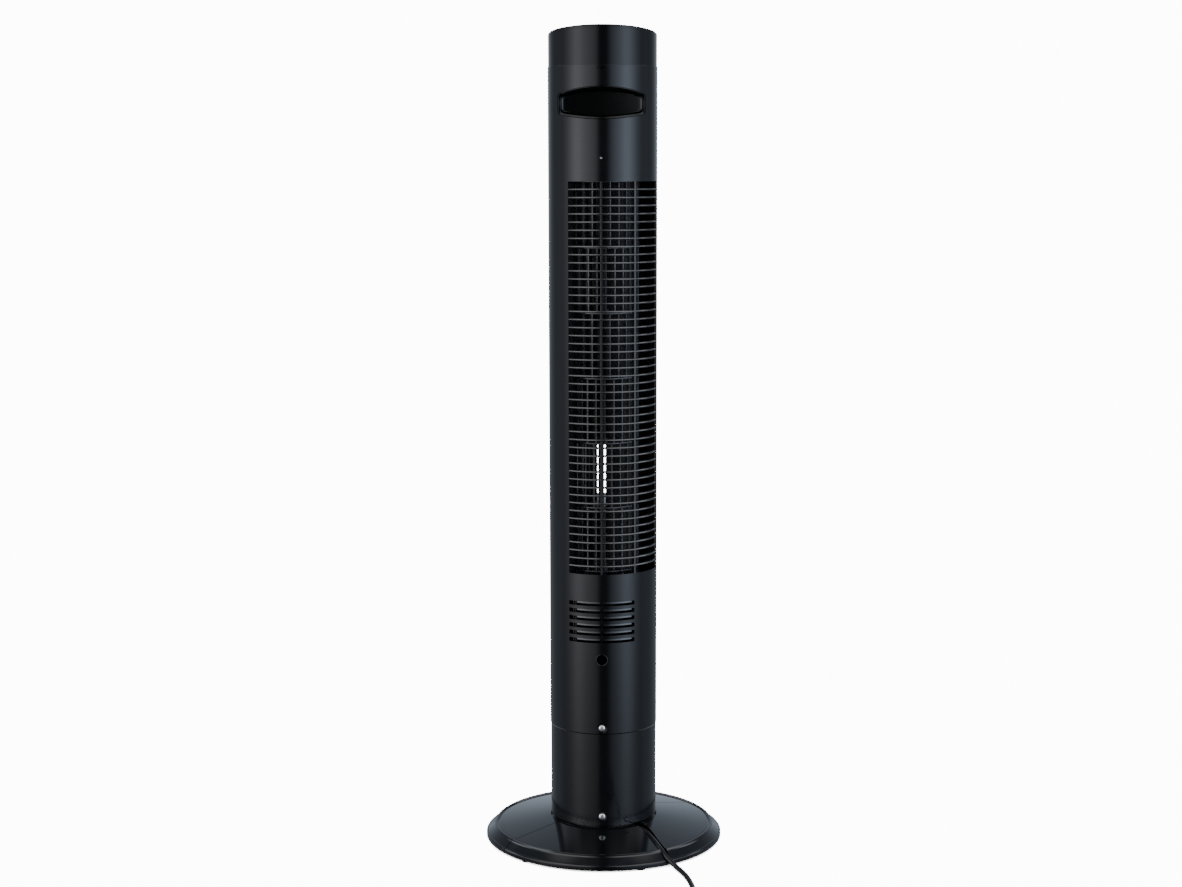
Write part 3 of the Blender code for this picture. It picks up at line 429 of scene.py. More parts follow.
# Impeller plastic: mid grey, ten times lighter than the inner plastic, painted highlight on the blades seen
# through the grille.
BLADE = black_plastic("impeller_plastic_painted_highlight", (0.0450, 0.0450, 0.0480), 0.28, ripple=0.01, level=1.0)
PANEL = black_plastic("panel_plastic", (0.0030, 0.0030, 0.0035), 0.05, ripple=0.006, coat=0.6)
KEY = black_plastic("key_plastic", (0.0220, 0.0220, 0.0240), 0.34, grain=0.06)
LENS = black_plastic("lens_plastic", (0.0060, 0.0040, 0.0040), 0.04, ripple=0.004)
MARK = black_plastic("mark_paint", (0.45, 0.46, 0.48), 0.45)
ACETAL = black_plastic("gear_plastic", (0.60, 0.60, 0.57), 0.38, grain=0.04)
BOARD = black_plastic("board_laminate", (0.012, 0.11, 0.04), 0.4, grain=0.08)
CASE = black_plastic("capacitor_case", (0.42, 0.42, 0.43), 0.45, grain=0.05)
ZINC = metal("zinc_plate", (0.93, 0.94, 0.95), 0.30)
STEEL = metal("motor_steel", (0.50, 0.50, 0.51), 0.42, (1.0, 1.0, 12.0))
CAN = metal("blackened_steel", (0.030, 0.030, 0.032), 0.55, (1.0, 1.0, 12.0))
BRONZE = metal("sintered_bronze", (0.55, 0.38, 0.20), 0.42)
BRASS = metal("plug_brass", (0.80, 0.62, 0.32), 0.24)
CORD = rubber("cord_sheath", (0.0100, 0.0100, 0.0108), 0.34)
GRIP = rubber("plug_rubber", (0.0110, 0.0110, 0.0118), 0.42)
FOOT = rubber("foot_rubber", (0.0180, 0.0180, 0.0185), 0.75, 0.3)


# Mains lead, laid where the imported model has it

LEAD_ROUTE = [
    (-58.5, 68.9, 21.3),
    (-61.3, 76.0, 20.8),
    (-64.2, 84.5, 20.0),
    (-67.3, 93.0, 18.9),
    (-70.4, 101.0, 17.5),
    (-73.2, 107.5, 16.0),
    (-76.2, 113.8, 14.1),
    (-79.4, 119.4, 11.6),
    (-82.7, 123.7, 9.1),
    (-86.6, 128.3, 6.6),
    (-90.6, 134.0, 4.6),
    (-94.6, 141.5, 3.6),
    (-98.8, 151.5, 3.3),
    (-103.0, 164.0, 3.3),
    (-106.8, 179.0, 3.3),
    (-110.0, 197.0, 3.3),
    (-112.6, 217.0, 3.4),
    (-114.1, 237.0, 3.8),
    (-114.7, 253.0, 4.3),
    (-114.9, 267.4, 4.6),
]
TAIL_ROUTE = [
    (-57.0, 341.0, 11.0),
    (-47.0, 340.5, 10.4),
    (-38.0, 339.2, 9.5),
    (-30.5, 338.0, 8.6),
    (-24.0, 336.7, 7.7),
    (-17.0, 335.4, 7.1),
    (-9.0, 335.0, 6.9),
]
GLAND_ROUTE = [
    (-43.4, 44.2, 22.0),
    (-48.1, 50.4, 21.9),
    (-53.4, 58.7, 21.7),
    (-58.3, 68.4, 21.3),
]


def coil_points():
    """The spare length: inwards on the floor, up at the inner edge, and outwards on top."""
    points = []
    low, high = 4.55, 11.1
    outer, inner, pitch = 47.75, 27.9, 6.5
    turns, steps = 6.25, 24
    for i in range(1, int(turns * steps) + 1):
        t = i / steps
        rise = min(max((t - 3.05) / 0.25, 0.0), 1.0)
        rise = rise * rise * (3 - 2 * rise)
        radius = outer - pitch * t if t < 3.05 else inner + pitch * max(t - 3.3, 0.0)
        turn = math.radians(180.0 - 360.0 * t)
        x, y = COIL_CENTRE
        points.append((x + radius * math.cos(turn), y + radius * math.sin(turn),
            low + (high - low) * rise))
    return points


def smooth_curve(points, spacing):
    route = [Vector(p) for p in points]
    route = [2 * route[0] - route[1]] + route + [2 * route[-1] - route[-2]]
    fine = []
    for p0, p1, p2, p3 in zip(route, route[1:], route[2:], route[3:]):
        for i in range(12):
            t = i / 12
            bend = 2 * p0 - 5 * p1 + 4 * p2 - p3
            twist = 3 * p1 - p0 - 3 * p2 + p3
            fine.append(0.5 * (2 * p1 + (p2 - p0) * t + bend * t**2 + twist * t**3))
    fine.append(route[-2])
    chosen, travelled = [fine[0]], 0.0
    for a, b in zip(fine, fine[1:]):
        travelled += (b - a).length
        if travelled >= spacing:
            chosen.append(b)
            travelled = 0.0
    return chosen[:-1] + [fine[-1]]


def make_lead():
    line = smooth_curve(LEAD_ROUTE + [(-114.75, 281.0, 4.6),
        (-114.75, 294.0, 4.55)] + coil_points() + TAIL_ROUTE, 4.0)
    mesh = bmesh.new()
    sections = []
    for i, here in enumerate(line):
        along = line[min(i + 1, len(line) - 1)] - line[max(i - 1, 0)]
        sections.append(round_loop(here, along, CORD_DIAMETER / 2, 20))
    add_loft(mesh, sections)
    lead = make("mains_lead", mesh, CORD)
    on_body(lead, "base", "cord_sheath", "power_cord", "cord_coil", "cord_tail")
    length = sum((b - a).length for a, b in zip(line, line[1:])) * MM
    print("lead length", round(length, 3))
    return lead, [tuple(p * MM) for p in line]


def make_gland():
    """The moulded strain relief, with rings round it."""
    line = smooth_curve(GLAND_ROUTE, 1.0)
    sections = []
    for i, here in enumerate(line):
        along = line[min(i + 1, len(line) - 1)] - line[max(i - 1, 0)]
        share = i / (len(line) - 1)
        ring = 0.0 if share < 0.2 or share > 0.96 else 0.28 * (1 if i % 3 else -1)
        sections.append(round_loop(here, along, 4.15 - 0.5 * share + ring * 0.5, 24))
    return on_body(lofted("lead_gland", sections, GRIP), "base", "cord_sheath", "cord_gland")


def make_tie():
    """A strap in one rounded band round the turns."""
    x, y = COIL_CENTRE
    middle = (x + 38.0, 7.7)
    outline = rounded(
        [(x + 23.0, 0.15, 3.0), (x + 52.4, 0.15, 3.0), (x + 52.4, 15.2, 3.0), (x + 23.0, 15.2, 3.0)], 6
    )
    mesh = bmesh.new()
    sections = []
    for u, v in outline:
        out = (Vector((u, v)) - Vector(middle)).normalized() * 0.95
        wide = 4.9
        sections.append(
            [(u, y - wide, v), (u, y + wide, v), (u - out.x, y + wide, v - out.y),
            (u - out.x, y - wide, v - out.y)]
        )
    rings = [[mesh.verts.new(p) for p in loop] for loop in sections]
    for a, b in zip(rings, rings[1:] + rings[:1]):
        for k in range(4):
            n = (k + 1) % 4
            mesh.faces.new([a[k], a[n], b[n], b[k]])
    tie = soften(make("lead_tie", mesh, GRIP), 0.25)
    return on_body(tie, "base", "cord_sheath", "cord_tie")


def make_plug():
    """A flat two-pin plug with a ribbed sleeve and a waisted grip."""
    sections = []
    x = -11.3
    while x < 4.0:
        ring = 0.0 if x < -9.5 else (0.35 if int((x + 9.5) / 1.6) % 2 else -0.15)
        radius = 3.65 + (x + 11.5) * 0.055 + ring
        sections.append(round_loop((x, PLUG_Y, PLUG_HEIGHT), (1, 0, 0), radius, 32))
        x += 0.8
    body = [
        (4.6, 5.0, 4.8), (7.0, 6.8, 5.4), (10.0, 9.6, 5.9), (14.0, 13.0, 6.3), (18.0, 15.2, 6.4),
        (23.0, 15.6, 6.3), (28.0, 15.5, 6.3), (33.0, 16.4, 6.6), (37.5, 17.3, 6.75), (40.6, 17.4, 6.7),
        (41.6, 17.0, 6.4), (42.0, 16.2, 5.8),
    ]
    for x, half_width, half_height in body:
        blend = min(1.0, (x - 4.0) / 8.0)
        power = 1.0 - 0.38 * blend
        loop = []
        for p in round_loop((x, PLUG_Y, PLUG_HEIGHT), (1, 0, 0), 1.0, 32):
            turn = math.atan2(p[2] - PLUG_HEIGHT, p[1] - PLUG_Y)
            c, s = math.cos(turn), math.sin(turn)
            y = PLUG_Y + half_width * math.copysign(abs(c) ** power, c)
            z = PLUG_HEIGHT + half_height * math.copysign(abs(s) ** power, s)
            loop.append((x, y, z))
        sections.append(loop)
    plug = on_body(lofted("mains_plug", sections, GRIP, 40), "base", "cord_sheath", "plug")
    pins = []
    for i, side in enumerate((-9.0, 9.0)):
        y = PLUG_Y + side
        steps = [(0.0, 2.0), (17.4, 2.0), (18.1, 1.75), (18.5, 1.2), (18.65, 0.5)]
        pin = rod(f"mains_pin_{i + 1}", (42.3, y, PLUG_HEIGHT), (61.0, y, PLUG_HEIGHT), steps, BRASS, 24)
        pins.append(on_body(pin, "base", "bronze", f"plug_pin_{i + 1}"))
    return [plug] + pins


lead, lead_path = make_lead()
make_gland()
tie = make_tie()
plug_pieces = make_plug()


# Base

CHANNEL = [
    (-40.5, 40.5, 17.6),
    (-47.5, 49.5, 17.4),
    (-53.5, 58.5, 17.0),
    (-59.0, 70.0, 16.6),
    (-64.2, 85.0, 16.2),
    (-70.3, 101.0, 13.9),
    (-75.3, 112.5, 10.4),
    (-80.3, 120.8, 6.6),
    (-85.0, 126.0, 3.2),
    (-92.0, 133.5, -3.0),
]


def base_profile():
    """Rim, slope, bead round the edge, shallow cone, collar and inner floor."""
    return rounded([
        (149.2, 2.0, 0.3),
        (150.0, 2.8, 0.6),
        (150.0, 7.2, 1.4),
        (148.7, 8.6, 0.9),
        (147.4, 9.0, 0.8),
        (139.9, 15.7, 1.8),
        (138.9, 17.0, 0.5),
        (138.1, 18.85, 0.8),
        (136.3, 18.85, 0.7),
        (135.3, 16.9, 0.4),
        (133.4, 17.8, 0.8),
        (67.5, 29.0, 1.5),
        (63.5, 27.1, 0.3),
        (63.5, 57.8, 0.8),
        (60.8, 57.8, 0.8),
        (60.8, 27.6, 0.3),
        (50.0, 31.0, 3.0),
        (24.2, 31.0, 0.8),
        (24.2, 24.5, 0.3),
        (59.5, 24.5, 0.3),
        (59.5, 2.0, 0.3),
    ], 6)


def cavity(start, end):
    profile = [(62.5, -2.0), (135.5, -2.0), (135.5, 14.2), (64.0, 24.2), (62.5, 24.2)]
    return turned("cavity", profile, BASE, 30, start=start, sweep=end - start)


def channel_cutter():
    """The open groove, with rounded bottom corners."""
    fine = smooth_curve([Vector(p) for p in CHANNEL], 2.0)
    sections = []
    for i, here in enumerate(fine):
        along = fine[min(i + 1, len(fine) - 1)] - fine[max(i - 1, 0)]
        side = Vector((-along.y, along.x, 0.0)).normalized()
        half = 4.8
        loop = []
        for u, v in rounded([(-half, 0.1, 2.2), (half, 0.1, 2.2), (half + 0.4, 30.0, 0.0),
            (-half - 0.4, 30.0, 0.0)], 4):
            p = here + side * u
            loop.append((p.x, p.y, here.z + v))
        sections.append(loop)
    return lofted("channel_cutter", sections, BASE)


def base_half(name, start, node, extra=()):
    half = turned(name, base_profile(), BASE, 120, start=start, sweep=180.0)
    for cutter in extra:
        cut(half, cutter)
    half = soften(half, 0.55, 2, 38)
    apart = Vector((*spot(0.08, start + 90.0), 0.0)) * MM
    half.location = apart
    return on_body(half, "base", "base_plastic", node)


def seam_cutter(angle):
    """The narrow groove where the two halves of the base meet."""
    side = Vector((*spot(1.0, angle + 90.0), 0.0))
    sections = []
    for radius, low in ((64.0, 27.7), (67.5, 27.5), (133.4, 16.3), (139.9, 14.0), (150.6, 4.0)):
        here = Vector((*spot(radius, angle), 0.0))
        sections.append([(*(here + side * u).xy, z) for u,
            z in ((-0.4, low), (0.4, low), (0.4, 40.0), (-0.4, 40.0))])
    return lofted("seam_cutter", sections, BASE)


OPPOSITE = SEAM + 180.0
REAR_CUTS = [seam_cutter(SEAM), seam_cutter(OPPOSITE), cavity(SEAM + 1.5, 30.0),
    cavity(52.0, OPPOSITE - 1.5), channel_cutter()]
base_half("base_rear", SEAM, "base_rear_half", REAR_CUTS)
base_half("base_front", OPPOSITE, "base_front_half",
    [seam_cutter(SEAM), seam_cutter(OPPOSITE), cavity(OPPOSITE + 1.5, SEAM + 358.5)])


def make_cord_well():
    """The small cup under the groove's inner end, closed below."""
    well = rod("cord_well", (-43.5, 42.5, 14.0), (-43.5, 42.5, 40.0),
        [(0, 11.4), (0.5, 11.8), (10.4, 11.8)], BASE)
    cut(well, rod("well_hollow", (-43.5, 42.5, 15.5), (-43.5, 42.5, 40.0), [(0, 10.3), (20, 10.3)], BASE))
    on_body(well, "base", "base_plastic")


make_cord_well()


# Neck and screws


def cross_screw(name, body, node, height, seat, radius, dome):
    """A pan-head screw with a cross recess, its head towards +Y."""
    profile = [(0.0, radius * 0.98), (dome * 0.25, radius), (dome * 0.55, radius * 0.93),
        (dome * 0.8, radius * 0.76),
        (dome * 0.95, radius * 0.5), (dome, radius * 0.2)]
    shank = min(1.9, radius * 0.6)
    head = rod(name, (0, seat, height), (0, seat + 10, height), [(-3.0, shank), (0.0, shank)] + profile,
        ZINC, 48)
    arms = []
    for turn in (25.0, 115.0):
        mesh = bmesh.new()
        c, s = math.cos(math.radians(turn)), math.sin(math.radians(turn))
        long, thin = radius * 0.6, radius * 0.11
        corners = [(-long, -thin), (long, -thin), (long, thin), (-long, thin)]
        loops = []
        for y, grow in ((seat + dome * 0.25, 0.45), (seat + dome + 1.0, 1.0)):
            loops.append([((u * c - v * s) * grow, y, height + (u * s + v * c) * grow) for u,
                v in corners])
        add_loft(mesh, loops)
        arms.append(make("cross_arm", mesh, ZINC))
    cut(head, *arms)
    return on_body(head, body, "steel", node)


def recess_cutter(height, mouth, seat, radius):
    return rod("recess", (0, seat, height), (0, 80, height),
        [(0, radius), (mouth - seat, radius), (12, radius)], BODY)


def notch_cutter():
    """The small nick in the neck's lower rear edge, a few centimetres to the -X side."""
    outline = rounded([(29.5, 38.6, 0.4), (33.0, 37.0, 0.4), (37.0, 38.0, 0.4), (36.6, 39.4, 0.4),
        (33.4, 38.6, 0.4),
        (31.2, 41.0, 0.4), (30.2, 40.6, 0.4)], 3)
    return radial_prism("nick", outline, NECK_RADIUS - 0.8, 70.0, BODY)


def make_neck():
    profile = rounded([
        (65.9, NECK_LOW, 0.0),
        (NECK_RADIUS, NECK_LOW + 0.2, 0.7),
        (NECK_RADIUS, NECK_HIGH, 0.3),
        (64.6, NECK_HIGH, 0.3),
        (64.6, 139.0, 0.0),
        (17.0, 139.0, 0.4),
        (17.0, 136.0, 0.4),
        (64.6, 136.0, 0.0),
        (64.6, NECK_LOW, 0.3),
    ], 4)
    neck = turned("neck_shell", profile, BODY, 240)
    cut(neck, recess_cutter(43.5, 70, 64.9, 6.0))
    cut(neck, notch_cutter())
    on_body(true_round(soften(neck, 0.3, 2, 40), NECK_RADIUS), "base", "body_plastic", "neck")
    cross_screw("neck_screw_head", "base", "neck_screw", 43.5, 65.9, 4.2, 2.0)


make_neck()
cross_screw("body_screw_head", "tower", "body_screw", 157.2, 66.5, 4.1, 2.0)
cross_screw("top_screw_head", "tower", "top_screw", 860.0, 65.2, 1.95, 0.9)


# Rear housing


def handle_edges(x, grow=0.0):
    """The hand hold's lower and upper edge at x: bowed, with upright ends and rounded corners."""
    half = 53.6 + grow
    bow = (x / 50.2) ** 2
    low, high = 905.8 + 5.6 * bow - grow, 945.4 - 6.8 * bow + grow
    end = half - abs(x)
    corner = 4.2
    if end < corner:
        drop = corner - math.sqrt(max(corner**2 - (corner - end) ** 2, 0.0))
        low, high = low + drop, high - drop
    return low, high


def handle_outline(grow=0.0):
    """The mouth as counter-clockwise (x, z)."""
    half = 53.3 + grow
    places = [half * math.sin(math.radians(a)) for a in spread(-90.0, 90.0, 60)]
    lower = [(x, handle_edges(x, grow)[0]) for x in places]
    upper = [(x, handle_edges(x, grow)[1]) for x in places[::-1]]
    return lower + upper


def window_cutter(first, last, low, high, radius, steps=6):
    """A cutter through the wall, from one angle to another, with rounded corners."""
    reach = math.degrees(radius / BODY_RADIUS)
    columns = []
    for i in range(steps + 1):
        turn = math.radians(90.0 * i / steps)
        columns.append((first + reach * (1 - math.cos(turn)), radius * (1 - math.sin(turn))))
    count = max(2, int((last - first - 2 * reach) / 1.5))
    columns += [(angle, 0.0) for angle in spread(first + reach, last - reach, count)[1:-1]]
    for i in range(steps + 1):
        turn = math.radians(90.0 * i / steps)
        columns.append((last - reach * (1 - math.sin(turn)), radius * (1 - math.cos(turn))))
    sections = []
    for angle, lift in columns:
        near, far = spot(60.0, angle), spot(74.0, angle)
        sections.append([(*near, low + lift), (*far, low + lift), (*far, high - lift),
            (*near, high - lift)])
    return lofted("window_cutter", sections, BODY)


def shell(name, angles, low, high, finish, body, slot, nodes, cutters, edge=0.45):
    """A curved wall of the column with rounded upper and lower edges, then cut."""
    profile = rounded([
        (BODY_RADIUS, low, 1.0),
        (BODY_RADIUS, high, 0.3),
        (BODY_RADIUS - WALL, high, 0.3),
        (BODY_RADIUS - WALL, low, 0.3),
    ], 3)
    first, last = angles
    wall = turned(name, profile, finish, 150, start=first, sweep=last - first)
    for cutter in cutters:
        cut(wall, cutter)
    return on_body(true_round(soften(wall, edge, 2, 38), BODY_RADIUS), body, slot, *nodes)


def make_rear():
    cutters = [window_cutter(GRILLE_LEFT, GRILLE_RIGHT, GRILLE_LOW, GRILLE_HIGH, 1.6)]
    for row in range(VENT_ROWS):
        low = VENT_LOW + VENT_PITCH * row
        for first, last in ((GRILLE_LEFT, -0.9), (0.9, 36.7)):
            cutters.append(window_cutter(first, last, low, low + VENT_SLOT, 0.9, 4))
    loops = [[(x, y, z) for x, z in handle_outline()] for y in (20.0, 90.0)]
    cutters.append(lofted("mouth", loops, BODY))
    cutters.append(rod("cable_drill", (0, 50, 243.9), (0, 80, 243.9), [(0, 6.5), (30, 6.5)], BODY, 48))
    cutters.append(recess_cutter(157.2, 70, 65.7, 6.6))
    cutters.append(rod("dimple", (0, 64, 860.0), (0, 80, 860.0), [(0, 2.1), (16, 2.1)], BODY, 32))
    smile = rounded([(-7.0, 967.4, 0.5), (-4.0, 965.6, 2.0), (0.0, 964.7, 6.0), (4.0, 965.6, 2.0),
        (7.0, 967.4, 0.5),
        (4.0, 966.9, 2.0), (0.0, 966.3, 6.0), (-4.0, 966.9, 2.0)], 3)
    cutters.append(radial_prism("smile", smile, 60, 74, BODY))
    slit = rounded([(-4.2, 968.0, 0.3), (4.2, 968.0, 0.3), (3.8, 969.0, 0.3), (-3.8, 969.0, 0.3)], 2)
    cutters.append(radial_prism("slit", slit, 60, 74, BODY))
    shell("rear_shell", (-89.9, 89.9), BODY_LOW, BODY_HIGH, BODY, "tower", "body_plastic",
          ("rear_housing", "rear_crown"), cutters)


def bar_section(half, inside, outside, nose, taper=0.7):
    """A grille bar's section as (radius, offset): rounded outside, thinner inside by the taper."""
    return rounded([
        (inside, -half * taper, 0.2),
        (outside - nose, -half, 0.3),
        (outside, -half * 0.6, nose * 0.9),
        (outside, half * 0.6, nose * 0.9),
        (outside - nose, half, 0.3),
        (inside, half * taper, 0.2),
    ], 3)


def make_rear_grille():
    mesh = bmesh.new()
    section = rounded([
        (59.5, -0.8, 0.2),
        (66.6, -1.0, 0.3),
        (67.3, -0.7, 0.35),
        (67.3, -0.1, 0.3),
        (66.7, 1.0, 0.25),
        (59.5, 0.8, 0.2),
    ], 3)
    for i in range(SLATS):
        z = TOP_SLAT - SLAT_PITCH * i
        profile = [(radius, z + offset) for radius, offset in section]
        add_turned(mesh, profile, 78, start=GRILLE_LEFT - 0.6, sweep=GRILLE_RIGHT - GRILLE_LEFT + 1.2)
    post = rounded([(61.4, -0.75, 0.2), (67.0, -1.05, 0.15), (67.0, 1.05, 0.15), (61.4, 0.75, 0.2)], 3)
    for middle in (0.0, GRILLE_RIB):
        sections = []
        for z in (GRILLE_LOW - 0.8, GRILLE_HIGH + 0.8):
            loop = []
            for radius, offset in post:
                loop.append((*spot(radius, middle + math.degrees(offset / BODY_RADIUS)), z))
            sections.append(loop)
        add_loft(mesh, sections)
    on_body(make("rear_grille_bars", mesh, SLAT, 40), "tower", "body_plastic")


def make_louvres():
    """The steep blades set back behind the vent's slots, and two thin posts at one end of them."""
    mesh = bmesh.new()
    for row in range(VENT_ROWS):
        low = VENT_LOW + VENT_PITCH * row
        profile = rounded([
            (65.0, low + 2.2, 0.4), (64.5, low + 5.6, 0.3), (63.4, low + 5.6, 0.3), (63.9, low + 2.2, 0.4)
        ], 3)
        for first, last in ((-28.4, -1.8), (1.8, 34.3)):
            add_turned(mesh, profile, 24, start=first, sweep=last - first)
    for middle in (-33.4, -30.5):
        sections = []
        for z in (VENT_LOW - 2.0, VENT_LOW + VENT_PITCH * (VENT_ROWS - 1) + VENT_SLOT + 2.0):
            loop = []
            for radius, offset in bar_section(0.5, 60.5, 64.2, 0.4):
                loop.append((*spot(radius, middle + math.degrees(offset / BODY_RADIUS)), z))
            sections.append(loop)
        add_loft(mesh, sections)
    on_body(make("vent_louvres", mesh, SLAT, 40), "tower", "inner_plastic")


def make_grommet():
    """The thin raised ring round the lead's storage hole."""
    profile = rounded([(6.3, 65.4, 0.0), (6.3, 67.2, 0.5), (6.9, 67.75, 0.4), (7.6, 67.5, 0.4),
        (7.7, 66.8, 0.0)], 3)
    mesh = bmesh.new()
    rings = []
    for turn in spread(0.0, 360.0, 64)[:-1]:
        c, s = math.cos(math.radians(turn)), math.sin(math.radians(turn))
        rings.append([mesh.verts.new((radius * c, y, 243.9 + radius * s)) for radius, y in profile])
    count = len(profile)
    for a, b in zip(rings, rings[1:] + rings[:1]):
        for k in range(count):
            n = (k + 1) % count
            mesh.faces.new([a[k], a[n], b[n], b[k]])
    on_body(make("hole_rim", mesh, BODY, 40), "tower", "body_plastic")


def make_pocket():
    """The hand hold's cup: a thin rounded lip, walls narrowing inwards and a floor curved like a trough."""
    mesh = bmesh.new()

    def rim(x, depth):
        return math.sqrt(max((BODY_RADIUS - depth) ** 2 - x * x, 900.0))

    def floor(x):
        return 33.0 + 1.5 * (x / 50.0) ** 2

    def loop(grow, share, lift=0.0, scale=1.0):
        points = []
        for x, z in handle_outline(grow):
            y = rim(x, 0.1) * (1 - share) + floor(x) * share - lift
            points.append((x * scale, y, 925.0 + (z - 925.0) * scale))
        return points

    rings = [
        loop(-0.15, 1.0, 1.6, 0.985),
        loop(-0.15, 0.0, 0.9),
        loop(-0.35, 0.0, 0.3),
        loop(-0.9, 0.0, 0.0),
        loop(-1.5, 0.0, 0.25),
        loop(-1.8, 0.0, 0.9),
        loop(-2.0, 0.0, 3.2),
        loop(-2.9, 0.0, 3.6),
        loop(-3.3, 0.0, 4.3),
        loop(-3.6, 0.5),
        loop(-4.2, 0.9),
        loop(-5.4, 0.99),
        loop(-7.4, 1.0),
    ]
    made = [[mesh.verts.new(p) for p in ring] for ring in rings]
    count = len(made[0])
    for a, b in zip(made, made[1:]):
        for k in range(count):
            n = (k + 1) % count
            mesh.faces.new([a[k], a[n], b[n], b[k]])
    for ring in (made[0], made[-1]):
        half = count // 2
        for k in range(half - 1):
            mesh.faces.new([ring[k], ring[k + 1], ring[count - 2 - k], ring[count - 1 - k]])
    bmesh.ops.remove_doubles(mesh, verts=mesh.verts, dist=0.0005)
    on_body(make("hand_hold_cup", mesh, CUP, 50), "tower", "body_plastic", "handle_pocket")


make_rear()
make_rear_grille()
make_louvres()
make_grommet()
make_pocket()


# Front housing and outlet


def make_front():
    low, high = 180.0 - OUTLET_HALF, 180.0 + OUTLET_HALF
    window = window_cutter(low, high, OUTLET_LOW, OUTLET_HIGH, 5.0)
    shell("front_shell", (90.1, 269.9), BODY_LOW, BODY_HIGH, BODY, "tower", "body_plastic",
        ("front_housing",),
        [window], 0.6)


def make_front_grille():
    """Upright bars between rounded cross bars, in a thin frame."""
    edge = OUTLET_HALF - 0.4
    frame_wall = turned("frame", rounded([
        (66.9, OUTLET_LOW + 0.3, 0.5), (66.9, OUTLET_HIGH - 0.3, 0.5), (63.6, OUTLET_HIGH - 0.3, 0.5),
        (63.6, OUTLET_LOW + 0.3, 0.5)
    ], 3), SLAT, 60, start=180 - edge, sweep=2 * edge)
    cut(frame_wall, window_cutter(180 - edge + 2.2, 180 + edge - 2.2, OUTLET_LOW + 4.5,
        OUTLET_HIGH - 4.5, 3.5))
    soften(frame_wall, 0.4, 2, 38)
    on_body(frame_wall, "tower", "inner_plastic", "front_grille")
    mesh = bmesh.new()
    for k in range(FRONT_SLOTS - 1):
        middle = 179.52 + 7.67 * (k - 4.5)
        sections = []
        for z in (OUTLET_LOW + 3.0, OUTLET_HIGH - 3.0):
            loop = []
            for radius, offset in bar_section(1.9, 53.5, 66.9, 0.8, 0.96):
                loop.append((*spot(radius, middle + math.degrees(offset / BODY_RADIUS)), z))
            sections.append(loop)
        add_loft(mesh, sections)
    for k in range(1, SEGMENTS):
        z = LOWEST_DISC + SEGMENT * k
        profile = [(radius, z + offset) for radius, offset in bar_section(2.0, 62.5, 66.6, 0.8)]
        add_turned(mesh, profile, 50, start=180 - edge + 1.0, sweep=2 * edge - 2.0)
    on_body(make("outlet_bars", mesh, SLAT, 40), "tower", "inner_plastic")


make_front()
make_front_grille()


# Impeller


def make_impeller():
    mesh = bmesh.new()
    for k in range(SEGMENTS + 1):
        z = LOWEST_DISC + SEGMENT * k
        disc = rounded([(0.05, z - 1.2, 0.0), (IMPELLER_RADIUS, z - 1.2, 0.7),
            (IMPELLER_RADIUS, z + 1.2, 0.7), (0.05, z + 1.2, 0.0)], 3)
        add_turned(mesh, disc, 100)
    for k in range(SEGMENTS):
        low = LOWEST_DISC + SEGMENT * k + 0.6
        high = low + SEGMENT - 1.2
        for i in range(BLADES):
            tip = BLADE_PHASES[k] + 360.0 / BLADES * i
            front, back = [], []
            for t in spread(0.0, 1.0, 6):
                radius = BLADE_INSIDE + (44.6 - BLADE_INSIDE) * t
                bow = BLADE_BOW * math.sin(math.pi * t)
                middle = tip - BLADE_SWEEP * (1 - t) + math.degrees(bow / radius)
                half = math.degrees(0.585 / radius)
                front.append(spot(radius, middle - half))
                back.append(spot(radius, middle + half))
            outline = front + back[::-1]
            add_loft(mesh, [[(*p, low) for p in outline], [(*p, high) for p in outline]])
    boss = rounded([(4.3, 343.6, 0.2), (11.0, 343.6, 0.5), (11.0, 350.0, 0.0), (4.3, 350.0, 0.0)], 3)
    add_turned(mesh, boss, 40)
    on_body(make("impeller_rotor_fine", mesh, BLADE, 40), "impeller_rotor", "inner_plastic", "impeller")


make_impeller()


# Top cap, panel and buttons


def on_top(x, y, drop=0.0):
    lean = math.radians(TOP_LEAN)
    normal = Vector((0.0, -math.sin(lean), math.cos(lean)))
    along = Vector((0.0, math.cos(lean), math.sin(lean)))
    return Vector((x, 0.0, TOP_CENTRE)) + along * y - normal * drop


def make_cap():
    profile = rounded([
        (CAP_RADIUS, CAP_LOW, 1.0),
        (CAP_RADIUS, -6.0, 0.0),
        (CAP_RADIUS, -0.15, 1.3),
        (PANEL_RADIUS + 0.25, -0.15, 0.5),
        (PANEL_RADIUS + 0.25, -2.6, 0.0),
        (50.0, -2.6, 0.0),
        (50.0, -4.6, 0.0),
        (61.4, -4.6, 0.0),
        (61.4, 962.0, 0.0),
        (63.6, 962.0, 0.4),
        (63.6, CAP_LOW, 0.0),
    ], 5)
    cap = turned("cap_shell", profile, CAP, 240, lean=True, sharp=40)
    on_body(cap, "tower", "body_plastic", "top_cap")


def leaning_block(name, x_range, y_range, drops, radius, finish):
    (x0, x1), (y0, y1) = x_range, y_range
    outline = rounded([(x0, y0, radius), (x1, y0, radius), (x1, y1, radius), (x0, y1, radius)], 6)
    loops = [[tuple(on_top(x, y, drop)) for x, y in outline] for drop in (drops[1], drops[0])]
    return lofted(name, loops, finish)


def button_spot(x):
    return x, -18.0 + x * x / 128.0


